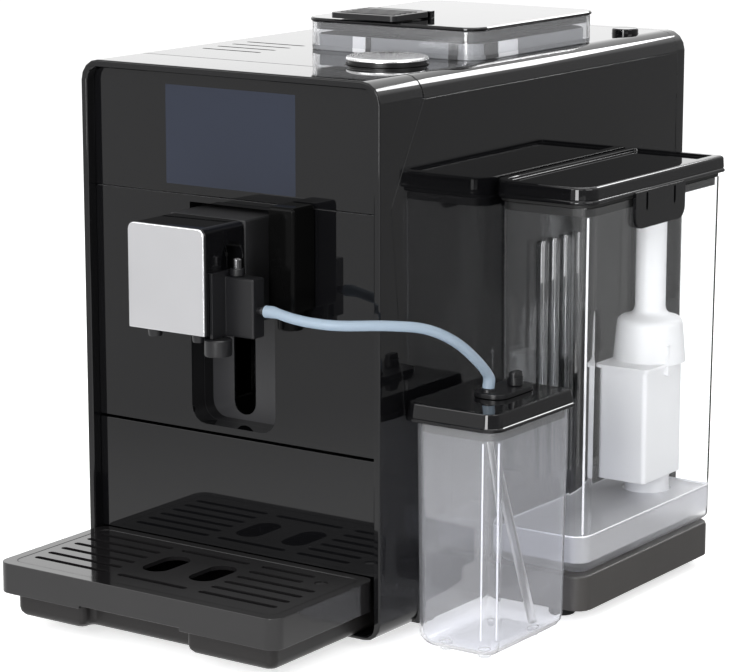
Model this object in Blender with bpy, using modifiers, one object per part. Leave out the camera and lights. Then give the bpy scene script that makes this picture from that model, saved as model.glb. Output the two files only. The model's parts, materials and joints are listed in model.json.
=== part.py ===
"""A countertop coffee machine, modelled piece by piece.

Lengths are metres. Pieces are placed in the housing's own frame: X runs to the right from the
housing's left side, Y runs back from its front edge and Z runs up from its lower edge. One root
empty then moves that frame, so that the machine stands on z = 0 with its bounding box centred
on x = y = 0.
"""

import math

import bmesh
import bpy
from mathutils import Matrix, Vector

# Driving sizes of the whole machine
HOUSING_WIDTH = 0.2295
HOUSING_DEPTH = 0.3743
HOUSING_HEIGHT = 0.342
HOUSING_CORNER = 0.0135
FOOT_HEIGHT = 0.008
TRAY_REACH = 0.0965
MILK_LID_GAP = 0.006
MILK_LID_WIDTH = 0.0688

# Clearances, walls and the fineness of round shapes
GAP = 0.0003
SLIDING_GAP = 0.0006
OVERRUN = 0.002
WALL = 0.0025
THIN_WALL = 0.002
EDGE = 0.0008
INSIDE_CORNER = 0.0005
MERGE_DISTANCE = 0.000003
ROUND_END_SHARE = 0.48
FILLET_REACH_SHARE = 0.9
CORNER_STEPS = 4
END_STEPS = 2
FILLET_STEPS = 3
PIN_STEPS = 12
ROUND_STEPS = 18
FINE_STEPS = 32
SHARP_ANGLE = math.radians(50)

# Front bezel and the seams between the housing's panels
BEZEL_WALL = 0.0048
BEZEL_DROP = 0.002
BEZEL_SILL = 0.0026
BEZEL_FOOT_CORNER = 0.012
TOP_PANEL_DEPTH = 0.014
SEAM_TOP_REACH = 0.0466
SEAM_WAIST_REACH = 0.0118
SEAM_WAIST_HEIGHT = 0.266
SEAM_KNEE_REACH = 0.0205
SEAM_KNEE_HEIGHT = 0.1905
SEAM_FOOT_REACH = 0.0425
BACK_COVER_DEPTH = 0.0123
BACK_COVER_EDGE = 0.003

# Front panels
FRONT_INSET = 0.0075
FRONT_THICKNESS = 0.0025
PANEL_SEAM = 0.0006
DRAWER_SEAM = 0.002
DRAWER_TOP_SHARE = 0.32076
MIDDLE_TOP_SHARE = 0.76345
DISPLAY_LEFT_SHARE = 0.27146
DISPLAY_WIDTH = 0.1
DISPLAY_BOTTOM_SHARE = 0.78129
DISPLAY_HEIGHT_SHARE = 0.18158
DISPLAY_DEPTH = 0.007

# Spout niche, its liner and the slot that the carriage rides in
NICHE_LEFT_SHARE = 0.35076
NICHE_WIDTH = 0.0655
NICHE_TOP_MARGIN = 0.0041
NICHE_CORNER = 0.011
NICHE_STEP = 0.013
NICHE_DEPTH = 0.022
LINER_GROWTH = 0.002
SLOT_INSET = 0.0169
SLOT_WIDTH = 0.017
SLOT_RISE = 0.0035
SLOT_HEADROOM = 0.007

# Spout assembly
SPOUT_TRAVEL_SHARE = 0.19006
SPOUT_RUN_OUT = 0.008
SPOUT_SIDE_PLAY = 0.0035
SPOUT_WIDTH = 0.058
SPOUT_TOP_DROP = 0.0071
SPOUT_HEIGHT_SHARE = 0.19006
SPOUT_CORNER = 0.005
CARRIAGE_FRONT = 0.017
CARRIAGE_PLAY = 0.0015
HEAD_REACH = 0.056
FACE_PLATE_THICKNESS = 0.0017
HEAD_WALL = 0.002
HEAD_CAVITY_DEPTH = 0.011
HEAD_RECESS_WIDTH = 0.012
HEAD_RECESS_FRONT = 0.040
HEAD_RECESS_ROOF = 0.011
STEM_WIDTH = 0.0138
STEM_RISE = 0.011
STEM_HEIGHT = 0.016
SLIDER_WIDTH = 0.028
SLIDER_RISE = 0.006
SLIDER_HEIGHT = 0.026
SLIDER_DEPTH = 0.0045
NOZZLE_RADIUS = 0.0049
NOZZLE_BORE = 0.003
NOZZLE_TIP_RADIUS = 0.0042
NOZZLE_DROP = 0.006
NOZZLE_SPACING = 0.034
NOZZLE_REACH = 0.0473

# Milk frother on the spout head
FROTHER_REACH = 0.023
FROTHER_BOX_DEPTH = 0.0117
FROTHER_DROP = 0.002
FROTHER_RISE = 0.0345
FROTHER_SLAB_THICKNESS = 0.002
FROTHER_SLAB_DEPTH = 0.013
FROTHER_SLAB_RISE = 0.0035
FROTHER_CAP_X = 0.0070
CAP_COLLAR_RADIUS = 0.0045
CAP_COLLAR_HEIGHT = 0.0045
CAP_RADIUS = 0.0037
CAP_HEIGHT = 0.0065
OUTLET_RADIUS = 0.0085
OUTLET_BORE = 0.006
OUTLET_HEIGHT = 0.0105
OUTLET_REACH = 0.047
OUTLET_FUNNEL = 0.0026
BARB_RADIUS = 0.0022
BARB_RIDGE = 0.0028
BARB_LENGTH = 0.005
BARB_RISE = 0.015

# Milk hose: points of its route, chosen by hand from the photograph, as the share of the way across
# from the barb to the stub, the place in depth and the share of the way down
HOSE_RADIUS = 0.0032
HOSE_POINT_SPACING = 0.009
HOSE_DEPTH = -0.034
HOSE_ROUTE_SHARES = (
    (0.0664, -0.0340, 0.0000),
    (0.1952, -0.0335, 0.0437),
    (0.3241, -0.0300, 0.0794),
    (0.4727, -0.0240, 0.0952),
    (0.7007, -0.0060, 0.1091),
    (0.8444, 0.0150, 0.2262),
    (0.9237, 0.0360, 0.5079),
    (0.9832, 0.0520, 0.7341),
    (1.0000, 0.0560, 0.8631),
)

# Hot-water spout
WATER_SPOUT_GAP = 0.003
WATER_SPOUT_WIDTH = 0.020
WATER_SPOUT_REACH = 0.030
WATER_SPOUT_RISE = 0.0105
WATER_SPOUT_OVERLAP = 0.0042
WATER_SPOUT_EDGE = 0.003
WATER_NOZZLE_RADIUS = 0.008
WATER_NOZZLE_BORE = 0.0045
WATER_NOZZLE_HEIGHT = 0.011
WATER_NOZZLE_REACH = 0.0195

# Drip tray
TRAY_TOP = 0.0365
TRAY_LEFT_PLAY = 0.001
TRAY_RIGHT_PLAY = 0.0025
RIM_THICKNESS = 0.0025
RIM_WIDTH = 0.0072
RIM_CORNER = 0.0085
RIM_WALL = 0.0022
APRON_BOTTOM = 0.017
APRON_NOTCH_RISE = 0.002
APRON_NOTCH_LEFT_SHARE = 0.31373
APRON_NOTCH_WIDTH_SHARE = 0.33987
GRID_CORNER = 0.006
GRID_THICKNESS = 0.0025
GRID_SEAT = 0.0008
BASIN_FLOOR = 0.001
BASIN_BACK = 0.060
BASIN_EDGE = 0.0055
BASIN_WALL = 0.0022
BASIN_FLANGE = 0.0023
CORNER_INSET_SHARE = 0.5
GRIP_DEPTH = 0.009
GRIP_CORNER = 0.004
GRIP_LEFT_SHARE = 0.30065
GRIP_WIDTH_SHARE = 0.34858

# Slots and openings of the drip grid
SLOT_ROWS = 6
SHORT_ROWS = 2
GRID_SLOT = 0.0045
GRID_PITCH = 0.0127
FIRST_ROW = -0.0745
LEFT_SLOT_SHARES = (0.08061, 0.33987)
MIDDLE_SLOT_SHARES = (0.37255, 0.60566)
RIGHT_SLOT_SHARES = (0.64706, 0.90196)
SHORT_SLOT_GAP = 0.0105
STADIUM_WIDTH_SHARE = 0.08148
STADIUM_DEPTH = 0.0365
STADIUM_FRONT = -0.0585
STADIUM_SPACING_SHARE = 0.15861
STADIUM_MIDDLE_SHARE = 0.49913
FLOAT_INSET = 0.0152
FLOAT_Y = -0.019
FLOAT_RADIUS = 0.0039
FLOAT_BASE_RADIUS = 0.0065
FLOAT_BASE_HEIGHT = 0.0115

# Grounds drawer and the bay that carries it
DRAWER_SIDE_MARGIN = 0.0164
DRAWER_DEPTH_SHARE = 0.37403
DRAWER_WALL_DROP = 0.0097
DRAWER_CORNER = 0.009
DRAWER_FOOT = 0.006
DRAWER_TAPER = 0.003
BAY_FRONT = 0.0623
BAY_GAP = 0.0005

# Base plate and the ledge that carries the tank
BASE_THICKNESS = 0.0025
BASE_ARM_WIDTH = 0.010
BASE_ARM_FRONT = 0.043
BASE_PLATE_FRONT = 0.062
LEDGE_FRONT = 0.119
LEDGE_DEPTH = 0.170
LEDGE_HEIGHT = 0.023
LEDGE_REACH = 0.0735
LEDGE_ROOT = 0.008
LEDGE_CORNER = 0.010
LEDGE_EDGE = 0.002
LEDGE_SOLID_ENDS = 0.027
LEDGE_SOCKET_END = 0.049
LEDGE_HOLLOW = 0.0205

# Feet
FOOT_RADIUS = 0.009
FOOT_CHAMFER = 0.001
FOOT_INSET = 0.020
FRONT_FOOT_Y = 0.075
BACK_FOOT_INSET = 0.0243
LEDGE_FOOT_INSET = 0.0255
LEDGE_FOOT_END = 0.017

# Water tank
TANK_GAP = 0.0025
TANK_WIDTH = 0.069
TANK_FRONT = 0.122
TANK_DEPTH = 0.171
TANK_TOP = 0.2565
TANK_CORNER = 0.012
TANK_TAPER = 0.0015
TANK_EDGE = 0.004
TANK_COLLAR_RADIUS = 0.016
TANK_COLLAR_WIDTH = 0.003
TANK_LID_LIFT = 0.0025
TANK_LID_HEIGHT = 0.011
TANK_LID_OVERHANG = 0.0018
TANK_LID_FRONT = 0.119
TANK_LID_DEPTH = 0.179
TANK_LID_DRAFT = 0.0008
TANK_LID_SHOULDER = 0.0019
TANK_LID_RIM = 0.007
TANK_LID_SINK = 0.0018
TANK_LID_PANEL = 0.002
TANK_SEAL_SKIRT = 0.0055
TANK_SEAL_WALL = 0.0015
LATCH_FRONT = 0.176
LATCH_WIDTH = 0.064
LATCH_BOTTOM = 0.2367
LATCH_THICKNESS = 0.0023
LATCH_CORNER = 0.008
LATCH_SLOT_INSET = 0.014
LATCH_SLOT_WIDTH = 0.0024
LATCH_SLOT_LENGTH = 0.0112
HINGE_SETBACK = 0.0033
HINGE_DROP = 0.0028
HINGE_RADIUS = 0.0024
HINGE_ROUNDING = 0.0022
HINGE_LUG_DROP = 0.0036
HINGE_PIN_RADIUS = 0.0011
HINGE_LUG_WIDTH = 0.020
HINGE_KNUCKLE_WIDTH = 0.006

# Tank valve and water filter
VALVE_Y = 0.262
VALVE_RADIUS = 0.007
VALVE_FLANGE_RADIUS = 0.011
VALVE_FLANGE_HEIGHT = 0.0026
VALVE_DROP = 0.0112
VALVE_TRAVEL = 0.003
SOCKET_RADIUS = 0.0082
SOCKET_FLOOR = 0.008
FILTER_BASE_RADIUS = 0.015
FILTER_BODY_WIDTH = 0.0356
FILTER_BODY_DEPTH = 0.050
FILTER_BODY_SETBACK = 0.014
FILTER_BODY_BOTTOM = 0.058
FILTER_BODY_TOP = 0.1343
FILTER_FLANGE = 0.002
FILTER_FLANGE_THICKNESS = 0.0022
FILTER_SKIRT_RADIUS = 0.0244
FILTER_DOME_ROUNDING = 0.0055
FILTER_FLARE_RADIUS = 0.0065
FILTER_FLARE_TOP = 0.1707
FILTER_NECK_RADIUS = 0.0102
FILTER_NECK_TOP = 0.232
FILTER_CORNER = 0.003

# Milk container
MILK_FRONT = 0.0158
MILK_DEPTH = 0.0866
MILK_SIDE = 0.006
MILK_OVERHANG = 0.0029
MILK_TOP = 0.137
MILK_FLOOR = -0.005
MILK_CORNER = 0.010
MILK_EDGE = 0.010
MILK_TAPER = 0.0015
MILK_FOOT_RADIUS = 0.004
MILK_FOOT_INSET = 0.016
MILK_LID_FRONT = 0.0115
MILK_LID_DEPTH = 0.0945
MILK_LID_HEIGHT = 0.0109
MILK_LID_CORNER = 0.011
MILK_LID_FLANGE = 0.002
MILK_LID_STEP = 0.001
MILK_LID_SHOULDER = 0.0012
MILK_LID_POCKET = 0.0115
MILK_LID_SKIN = 0.0022
MILK_SEAL_HEIGHT = 0.0065
MILK_SEAL_WALL = 0.0025
CONNECTOR_INSET = 0.0265
CONNECTOR_WIDTH = 0.023
CONNECTOR_FRONT = 0.048
CONNECTOR_DEPTH = 0.044
CONNECTOR_HEIGHT = 0.0028
CONNECTOR_CORNER = 0.009
STUB_INSET = 0.0092
STUB_Y = 0.056
STUB_RADIUS = 0.0045
STUB_HEIGHT = 0.002
KNOB_INSET = 0.0135
KNOB_Y = 0.080
KNOB_RADIUS = 0.0049
KNOB_HEIGHT = 0.0085
KNOB_RIDGE_HALF = 0.002
KNOB_RIDGE_BOTTOM = 0.0051
SUCTION_RADIUS = 0.003
SUCTION_INSET = 0.0134
SUCTION_Y = 0.081
SUCTION_BOTTOM = 0.002
SUCTION_NECK = 0.018
SUCTION_SPACING = 0.012

# Bean hopper, its lid and the powder flap
HOPPER_LEFT_SHARE = 0.36601
HOPPER_WIDTH_SHARE = 0.57516
HOPPER_FRONT_SHARE = 0.33396
HOPPER_DEPTH_SHARE = 0.40075
HOPPER_HEIGHT = 0.018
HOPPER_CORNER = 0.013
HOPPER_WALL = 0.0025
HOPPER_STEP = 0.006
HOPPER_SHAFT = 0.017
HOPPER_FALL = 0.022
THROAT_X_SHARE = 0.65359
THROAT_Y_SHARE = 0.51296
THROAT_RADIUS = 0.022
LID_OVERHANG = 0.001
LID_THICKNESS = 0.0025
LID_SKIRT_HEIGHT = 0.005
LID_SKIRT_WALL = 0.002
FLAP_INSET = 0.023
FLAP_WIDTH = 0.050
FLAP_OVERHANG = 0.004
FLAP_DEPTH = 0.0416
FLAP_THICKNESS = 0.0035
FLAP_CORNER = 0.004
FLAP_LIFT = 0.001
OPENING_SIDE_MARGIN = 0.007
OPENING_END_MARGIN = 0.0094
FLAP_ARM_DROP = 0.0002
FLAP_BARREL_RADIUS = 0.0021
FLAP_BARREL_SETBACK = 0.0034
FLAP_PIN_RADIUS = 0.001
FLAP_LUG_WIDTH = 0.008
FLAP_LUG_DEPTH = 0.0044

# Controls and vents on the top panel
DIAL_X_SHARE = 0.76993
DIAL_Y_SHARE = 0.22709
DIAL_RADIUS = 0.026
DIAL_HEIGHT = 0.005
DIAL_CHAMFER = 0.0015
DIAL_RIM = 0.0015
DIAL_DISH = 0.0008
DIAL_SHAFT_RADIUS = 0.004
DIAL_SHAFT_DEPTH = 0.012
BUTTON_X_SHARE = 0.8976
BUTTON_Y_SHARE = 0.88165
BUTTON_RADIUS = 0.009
BUTTON_TRAVEL = 0.003
BUTTON_PRESSED_HEIGHT = 0.0007
BUTTON_DEPTH = 0.010
BUTTON_FLANGE = 0.002
BUTTON_FLANGE_THICKNESS = 0.0015
VENT_LEFT_SHARE = 0.11765
VENT_WIDTH_SHARE = 0.20479
VENT_SLOT = 0.003
VENT_FIRST = 0.091
VENT_PITCH = 0.016
VENT_COUNT = 4

# Power inlet in the back cover
INLET_X = 0.045
INLET_Z = 0.040
INLET_WIDTH = 0.028
INLET_HEIGHT = 0.0205
INLET_DEPTH = 0.022
INLET_RECESS_WIDTH = 0.0235
INLET_RECESS_HEIGHT = 0.016
INLET_RECESS_DEPTH = 0.016
INLET_CORNER = 0.004
INLET_PIN_WIDTH = 0.002
INLET_PIN_HEIGHT = 0.004
INLET_PIN_SPACING = 0.007
INLET_PIN_RISE = 0.002

# Inner frame and what it carries
FRAME_LEFT = 0.012
FRAME_FRONT_SHARE = 0.42746
FRAME_DEPTH_SHARE = 0.37403
FRAME_WALL = 0.003
FRAME_BAY_WIDTH_SHARE = 0.35294
FRAME_BAY_HEIGHT = 0.207
FRAME_DECK = 0.1497
FRAME_RIGHT_INSET = 0.0235
GRINDER_RADIUS_SHARE = 0.19608
GRINDER_HEIGHT = 0.084
GRINDER_NECK_RADIUS = 0.026
GRINDER_NECK_HEIGHT = 0.012
GRINDER_BORE_DEPTH = 0.022
GRINDER_FOOT_RADIUS = 0.030
GRINDER_FOOT_HEIGHT = 0.012
MOTOR_RADIUS = 0.028
CHAMBER_Y_SHARE = 0.60112
CHAMBER_RADIUS_SHARE = 0.34568
CHAMBER_BORE_SHARE = 0.2716
CHAMBER_FLOOR = 0.062
CHAMBER_MOUTH = 0.010
CHAMBER_FOOT_RADIUS_SHARE = 0.41975
CHAMBER_FOOT_HEIGHT = 0.008
PISTON_LENGTH = 0.030
PISTON_ROD_RADIUS = 0.007
PISTON_ROD_TOP = 0.180
PISTON_TRAVEL = 0.028
PUMP_X_SHARE = 0.54466
PUMP_Y_SHARE = 0.51296
PUMP_RADIUS = 0.021
PUMP_HEIGHT = 0.105
PUMP_NECK_RADIUS = 0.009
PUMP_NECK_HEIGHT = 0.015
BOILER_X_SHARE = 0.66231
BOILER_Y_SHARE = 0.68662
BOILER_RADIUS_SHARE = 0.14815
BOILER_HEIGHT = 0.125
STEAM_BOILER_X_SHARE = 0.52288
STEAM_BOILER_Y_SHARE = 0.88165
STEAM_BOILER_RADIUS_SHARE = 0.07481
STEAM_BOILER_HEIGHT = 0.150
BOILER_CAP = 0.006
BOARD_FRONT_SHARE = 0.44082
BOARD_DEPTH_SHARE = 0.4809
BOARD_BOTTOM_SHARE = 0.35088
BOARD_HEIGHT_SHARE = 0.54094
BOARD_THICKNESS = 0.0016

# Sizes that follow the housing's width, depth and height
DRAWER_TOP = DRAWER_TOP_SHARE * HOUSING_HEIGHT
MIDDLE_TOP = MIDDLE_TOP_SHARE * HOUSING_HEIGHT
DISPLAY_LEFT = DISPLAY_LEFT_SHARE * HOUSING_WIDTH
DISPLAY_BOTTOM = DISPLAY_BOTTOM_SHARE * HOUSING_HEIGHT
DISPLAY_HEIGHT = DISPLAY_HEIGHT_SHARE * HOUSING_HEIGHT
NICHE_LEFT = NICHE_LEFT_SHARE * HOUSING_WIDTH
SPOUT_TRAVEL = SPOUT_TRAVEL_SHARE * HOUSING_HEIGHT
SPOUT_HEIGHT = SPOUT_HEIGHT_SHARE * HOUSING_HEIGHT
APRON_NOTCH_LEFT = APRON_NOTCH_LEFT_SHARE * HOUSING_WIDTH
APRON_NOTCH_WIDTH = APRON_NOTCH_WIDTH_SHARE * HOUSING_WIDTH
GRIP_LEFT = GRIP_LEFT_SHARE * HOUSING_WIDTH
GRIP_WIDTH = GRIP_WIDTH_SHARE * HOUSING_WIDTH
STADIUM_WIDTH = STADIUM_WIDTH_SHARE * HOUSING_WIDTH
STADIUM_SPACING = STADIUM_SPACING_SHARE * HOUSING_WIDTH
STADIUM_MIDDLE = STADIUM_MIDDLE_SHARE * HOUSING_WIDTH
DRAWER_DEPTH = DRAWER_DEPTH_SHARE * HOUSING_DEPTH
HOPPER_LEFT = HOPPER_LEFT_SHARE * HOUSING_WIDTH
HOPPER_WIDTH = HOPPER_WIDTH_SHARE * HOUSING_WIDTH
HOPPER_FRONT = HOPPER_FRONT_SHARE * HOUSING_DEPTH
HOPPER_DEPTH = HOPPER_DEPTH_SHARE * HOUSING_DEPTH
THROAT_X = THROAT_X_SHARE * HOUSING_WIDTH
THROAT_Y = THROAT_Y_SHARE * HOUSING_DEPTH
DIAL_X = DIAL_X_SHARE * HOUSING_WIDTH
DIAL_Y = DIAL_Y_SHARE * HOUSING_DEPTH
BUTTON_X = BUTTON_X_SHARE * HOUSING_WIDTH
BUTTON_Y = BUTTON_Y_SHARE * HOUSING_DEPTH
VENT_LEFT = VENT_LEFT_SHARE * HOUSING_WIDTH
VENT_WIDTH = VENT_WIDTH_SHARE * HOUSING_WIDTH
FRAME_FRONT = FRAME_FRONT_SHARE * HOUSING_DEPTH
FRAME_DEPTH = FRAME_DEPTH_SHARE * HOUSING_DEPTH
FRAME_BAY_WIDTH = FRAME_BAY_WIDTH_SHARE * HOUSING_WIDTH
GRINDER_RADIUS = GRINDER_RADIUS_SHARE * HOUSING_WIDTH
CHAMBER_Y = CHAMBER_Y_SHARE * HOUSING_DEPTH
PUMP_X = PUMP_X_SHARE * HOUSING_WIDTH
PUMP_Y = PUMP_Y_SHARE * HOUSING_DEPTH
BOILER_X = BOILER_X_SHARE * HOUSING_WIDTH
BOILER_Y = BOILER_Y_SHARE * HOUSING_DEPTH
BOILER_RADIUS = BOILER_RADIUS_SHARE * HOUSING_WIDTH
STEAM_BOILER_X = STEAM_BOILER_X_SHARE * HOUSING_WIDTH
STEAM_BOILER_Y = STEAM_BOILER_Y_SHARE * HOUSING_DEPTH
STEAM_BOILER_RADIUS = STEAM_BOILER_RADIUS_SHARE * HOUSING_DEPTH
BOARD_FRONT = BOARD_FRONT_SHARE * HOUSING_DEPTH
BOARD_DEPTH = BOARD_DEPTH_SHARE * HOUSING_DEPTH
BOARD_BOTTOM = BOARD_BOTTOM_SHARE * HOUSING_HEIGHT
BOARD_HEIGHT = BOARD_HEIGHT_SHARE * HOUSING_HEIGHT
LEFT_SLOT = (LEFT_SLOT_SHARES[0] * HOUSING_WIDTH, LEFT_SLOT_SHARES[1] * HOUSING_WIDTH)
MIDDLE_SLOT = (MIDDLE_SLOT_SHARES[0] * HOUSING_WIDTH, MIDDLE_SLOT_SHARES[1] * HOUSING_WIDTH)
RIGHT_SLOT = (RIGHT_SLOT_SHARES[0] * HOUSING_WIDTH, RIGHT_SLOT_SHARES[1] * HOUSING_WIDTH)
CHAMBER_RADIUS = CHAMBER_RADIUS_SHARE * FRAME_BAY_WIDTH
CHAMBER_BORE = CHAMBER_BORE_SHARE * FRAME_BAY_WIDTH
CHAMBER_FOOT_RADIUS = CHAMBER_FOOT_RADIUS_SHARE * FRAME_BAY_WIDTH
FRAME_RIGHT = HOUSING_WIDTH - FRAME_RIGHT_INSET

# Places worked out from the sizes above
MILK_RIGHT = HOUSING_WIDTH + MILK_LID_GAP + MILK_LID_WIDTH
ROOT_PLACE = (-MILK_RIGHT / 2, (TRAY_REACH - HOUSING_DEPTH) / 2, FOOT_HEIGHT)
BACK_SEAM = HOUSING_DEPTH - BACK_COVER_DEPTH
TOP_PANEL_BOTTOM = HOUSING_HEIGHT - TOP_PANEL_DEPTH
BEZEL_INNER_CORNER = HOUSING_CORNER - BEZEL_WALL
BEZEL_FLOOR = BEZEL_SILL - BEZEL_DROP
FRONT_X = (BEZEL_WALL + GAP, HOUSING_WIDTH - BEZEL_WALL - GAP)
FRONT_Y = (FRONT_INSET, FRONT_INSET + FRONT_THICKNESS)
DRAWER_BOTTOM = TRAY_TOP + GAP
UPPER_GLASS_TOP = HOUSING_HEIGHT - BEZEL_WALL - GAP
NICHE_X = (NICHE_LEFT, NICHE_LEFT + NICHE_WIDTH)
NICHE_BACK = FRONT_INSET + NICHE_DEPTH
LINER_BACK = NICHE_BACK + THIN_WALL
SPOUT_X = (NICHE_LEFT + SPOUT_SIDE_PLAY, NICHE_LEFT + SPOUT_SIDE_PLAY + SPOUT_WIDTH)
SPOUT_MIDDLE = (SPOUT_X[0] + SPOUT_X[1]) / 2
SPOUT_TOP = MIDDLE_TOP - SPOUT_TOP_DROP
SPOUT_Z = (SPOUT_TOP - SPOUT_HEIGHT, SPOUT_TOP)
FROTHER_TOP = SPOUT_Z[0] + FROTHER_RISE
BARB_HEIGHT = SPOUT_Z[0] + BARB_RISE
WATER_SPOUT_LEFT = SPOUT_X[1] + FROTHER_REACH + WATER_SPOUT_GAP
WATER_SPOUT_Z = (SPOUT_Z[0] + WATER_SPOUT_RISE, MIDDLE_TOP + WATER_SPOUT_OVERLAP)
NICHE_BOTTOM = SPOUT_Z[0] - SPOUT_TRAVEL - SPOUT_RUN_OUT
NICHE_Z = (NICHE_BOTTOM, MIDDLE_TOP - NICHE_TOP_MARGIN)
HEAD_BACK = -CARRIAGE_FRONT - GAP
SLOT_X = (NICHE_LEFT + SLOT_INSET, NICHE_LEFT + SLOT_INSET + SLOT_WIDTH)
SLOT_MIDDLE = (SLOT_X[0] + SLOT_X[1]) / 2
TRAY_X = (BEZEL_WALL + TRAY_LEFT_PLAY, HOUSING_WIDTH - BEZEL_WALL - TRAY_RIGHT_PLAY)
TRAY_Y = (-TRAY_REACH, FRONT_INSET - GAP)
RIM_Z = (TRAY_TOP - RIM_THICKNESS, TRAY_TOP)
GRID_X = (TRAY_X[0] + RIM_WIDTH + GAP, TRAY_X[1] - RIM_WIDTH - GAP)
GRID_Y = (TRAY_Y[0] + RIM_WIDTH + GAP, -GAP)
GRID_BOTTOM = TRAY_TOP - GAP / 2 - GRID_THICKNESS
FLOAT_X = GRID_X[1] - FLOAT_INSET
SHORT_SLOT_END = FLOAT_X - SHORT_SLOT_GAP
BASIN_X = (GRID_X[0] + GRID_SEAT - GAP, GRID_X[1] - GRID_SEAT + GAP)
BASIN_TOP = GRID_BOTTOM - GAP
BASIN_FRONT = GRID_Y[0] + GRID_SEAT / 2
DRAWER_X = (FRONT_X[0] + DRAWER_SIDE_MARGIN, FRONT_X[1] - DRAWER_SIDE_MARGIN)
DRAWER_Y = (FRONT_Y[1] + GAP, FRONT_Y[1] + GAP + DRAWER_DEPTH)
DRAWER_FLOOR = TRAY_TOP + SLIDING_GAP
DRAWER_WALL_TOP = DRAWER_TOP - DRAWER_WALL_DROP
LEDGE_X = (HOUSING_WIDTH - LEDGE_ROOT, HOUSING_WIDTH + LEDGE_REACH)
LEDGE_Y = (LEDGE_FRONT, LEDGE_FRONT + LEDGE_DEPTH)
TANK_X = (HOUSING_WIDTH + TANK_GAP, HOUSING_WIDTH + TANK_GAP + TANK_WIDTH)
TANK_Y = (TANK_FRONT, TANK_FRONT + TANK_DEPTH)
TANK_BOTTOM = LEDGE_HEIGHT + GAP
TANK_MIDDLE = (TANK_X[0] + TANK_X[1]) / 2
TANK_FLOOR = TANK_BOTTOM + THIN_WALL
BACK_CORNER = THIN_WALL + INSIDE_CORNER
TANK_LID_X = (TANK_X[0] - TANK_LID_OVERHANG, TANK_X[1] + TANK_LID_OVERHANG)
TANK_LID_Y = (TANK_LID_FRONT, TANK_LID_FRONT + TANK_LID_DEPTH)
TANK_LID_Z = (TANK_TOP + TANK_LID_LIFT, TANK_TOP + TANK_LID_LIFT + TANK_LID_HEIGHT)
HINGE_Y = TANK_Y[1] + HINGE_SETBACK
HINGE_Z = TANK_LID_Z[0] - HINGE_DROP
VALVE_TOP = TANK_FLOOR + GAP + VALVE_FLANGE_HEIGHT
COLLAR_TOP = VALVE_TOP + VALVE_TRAVEL + GAP
FILTER_BASE = COLLAR_TOP + GAP
MILK_LID_X = (HOUSING_WIDTH + MILK_LID_GAP, MILK_RIGHT)
MILK_LID_Y = (MILK_LID_FRONT, MILK_LID_FRONT + MILK_LID_DEPTH)
MILK_LID_Z = (MILK_TOP + GAP, MILK_TOP + GAP + MILK_LID_HEIGHT)
MILK_X = (MILK_LID_X[0] + MILK_SIDE, MILK_LID_X[1] - MILK_OVERHANG)
MILK_Y = (MILK_FRONT, MILK_FRONT + MILK_DEPTH)
CONNECTOR_X = (MILK_LID_X[0] + CONNECTOR_INSET, MILK_LID_X[0] + CONNECTOR_INSET + CONNECTOR_WIDTH)
CONNECTOR_Z = (MILK_LID_Z[1] + GAP, MILK_LID_Z[1] + GAP + CONNECTOR_HEIGHT)
STUB_X = CONNECTOR_X[0] + STUB_INSET
KNOB_X = CONNECTOR_X[0] + KNOB_INSET
SUCTION_X = MILK_X[1] - SUCTION_INSET
HOSE_START = (SPOUT_X[1] + FROTHER_REACH + BARB_LENGTH + GAP, HOSE_DEPTH, BARB_HEIGHT)
HOSE_END = (STUB_X, STUB_Y, CONNECTOR_Z[1] + STUB_HEIGHT + GAP)
HOSE_ROUTE = [
    (
        HOSE_START[0] + across * (HOSE_END[0] - HOSE_START[0]),
        depth,
        HOSE_START[2] + down * (HOSE_END[2] - HOSE_START[2]),
    )
    for across, depth, down in HOSE_ROUTE_SHARES
]
HOPPER_X = (HOPPER_LEFT, HOPPER_LEFT + HOPPER_WIDTH)
HOPPER_Y = (HOPPER_FRONT, HOPPER_FRONT + HOPPER_DEPTH)
HOPPER_BASE = HOUSING_HEIGHT + GAP
HOPPER_TOP = HOUSING_HEIGHT + HOPPER_HEIGHT
HOPPER_THROAT = HOUSING_HEIGHT - HOPPER_SHAFT - HOPPER_FALL
LID_Z = (HOPPER_TOP + GAP, HOPPER_TOP + GAP + LID_THICKNESS)
FLAP_X = (HOPPER_X[0] + FLAP_INSET, HOPPER_X[0] + FLAP_INSET + FLAP_WIDTH)
FLAP_Y = (HOPPER_Y[0] - FLAP_OVERHANG, HOPPER_Y[0] - FLAP_OVERHANG + FLAP_DEPTH)
FLAP_Z = (LID_Z[1] + FLAP_LIFT, LID_Z[1] + FLAP_LIFT + FLAP_THICKNESS)
FLAP_AXIS_Y = FLAP_Y[1] + FLAP_BARREL_SETBACK
FLAP_AXIS_Z = LID_Z[1] + GAP + FLAP_BARREL_RADIUS
FRAME_FLOOR = BASE_THICKNESS + GAP
FRAME_Y = (FRAME_FRONT, FRAME_FRONT + FRAME_DEPTH)
BAY_X = (FRAME_LEFT, FRAME_LEFT + FRAME_BAY_WIDTH)
BAY_FLOOR = FRAME_FLOOR + FRAME_WALL
CHAMBER_X = (BAY_X[0] + BAY_X[1]) / 2
CHAMBER_TOP = CHAMBER_FLOOR + PISTON_LENGTH + PISTON_TRAVEL + CHAMBER_MOUTH
GRINDER_TOP = HOPPER_THROAT - GAP
GRINDER_BOTTOM = GRINDER_TOP - GRINDER_HEIGHT
INLET_Y = (HOUSING_DEPTH - GAP - INLET_DEPTH, HOUSING_DEPTH - GAP)

# Axes of an upright, a deep and a sideways piece, as the turn of its local frame
TURNS = {
    "Z": (0.0, 0.0, 0.0),
    "Y": (math.pi / 2, 0.0, 0.0),
    "X": (math.pi / 2, 0.0, math.pi / 2),
}


def clear_scene():
    """Remove every object that the file starts with."""
    for item in list(bpy.data.objects):
        bpy.data.objects.remove(item, do_unlink=True)


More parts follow.
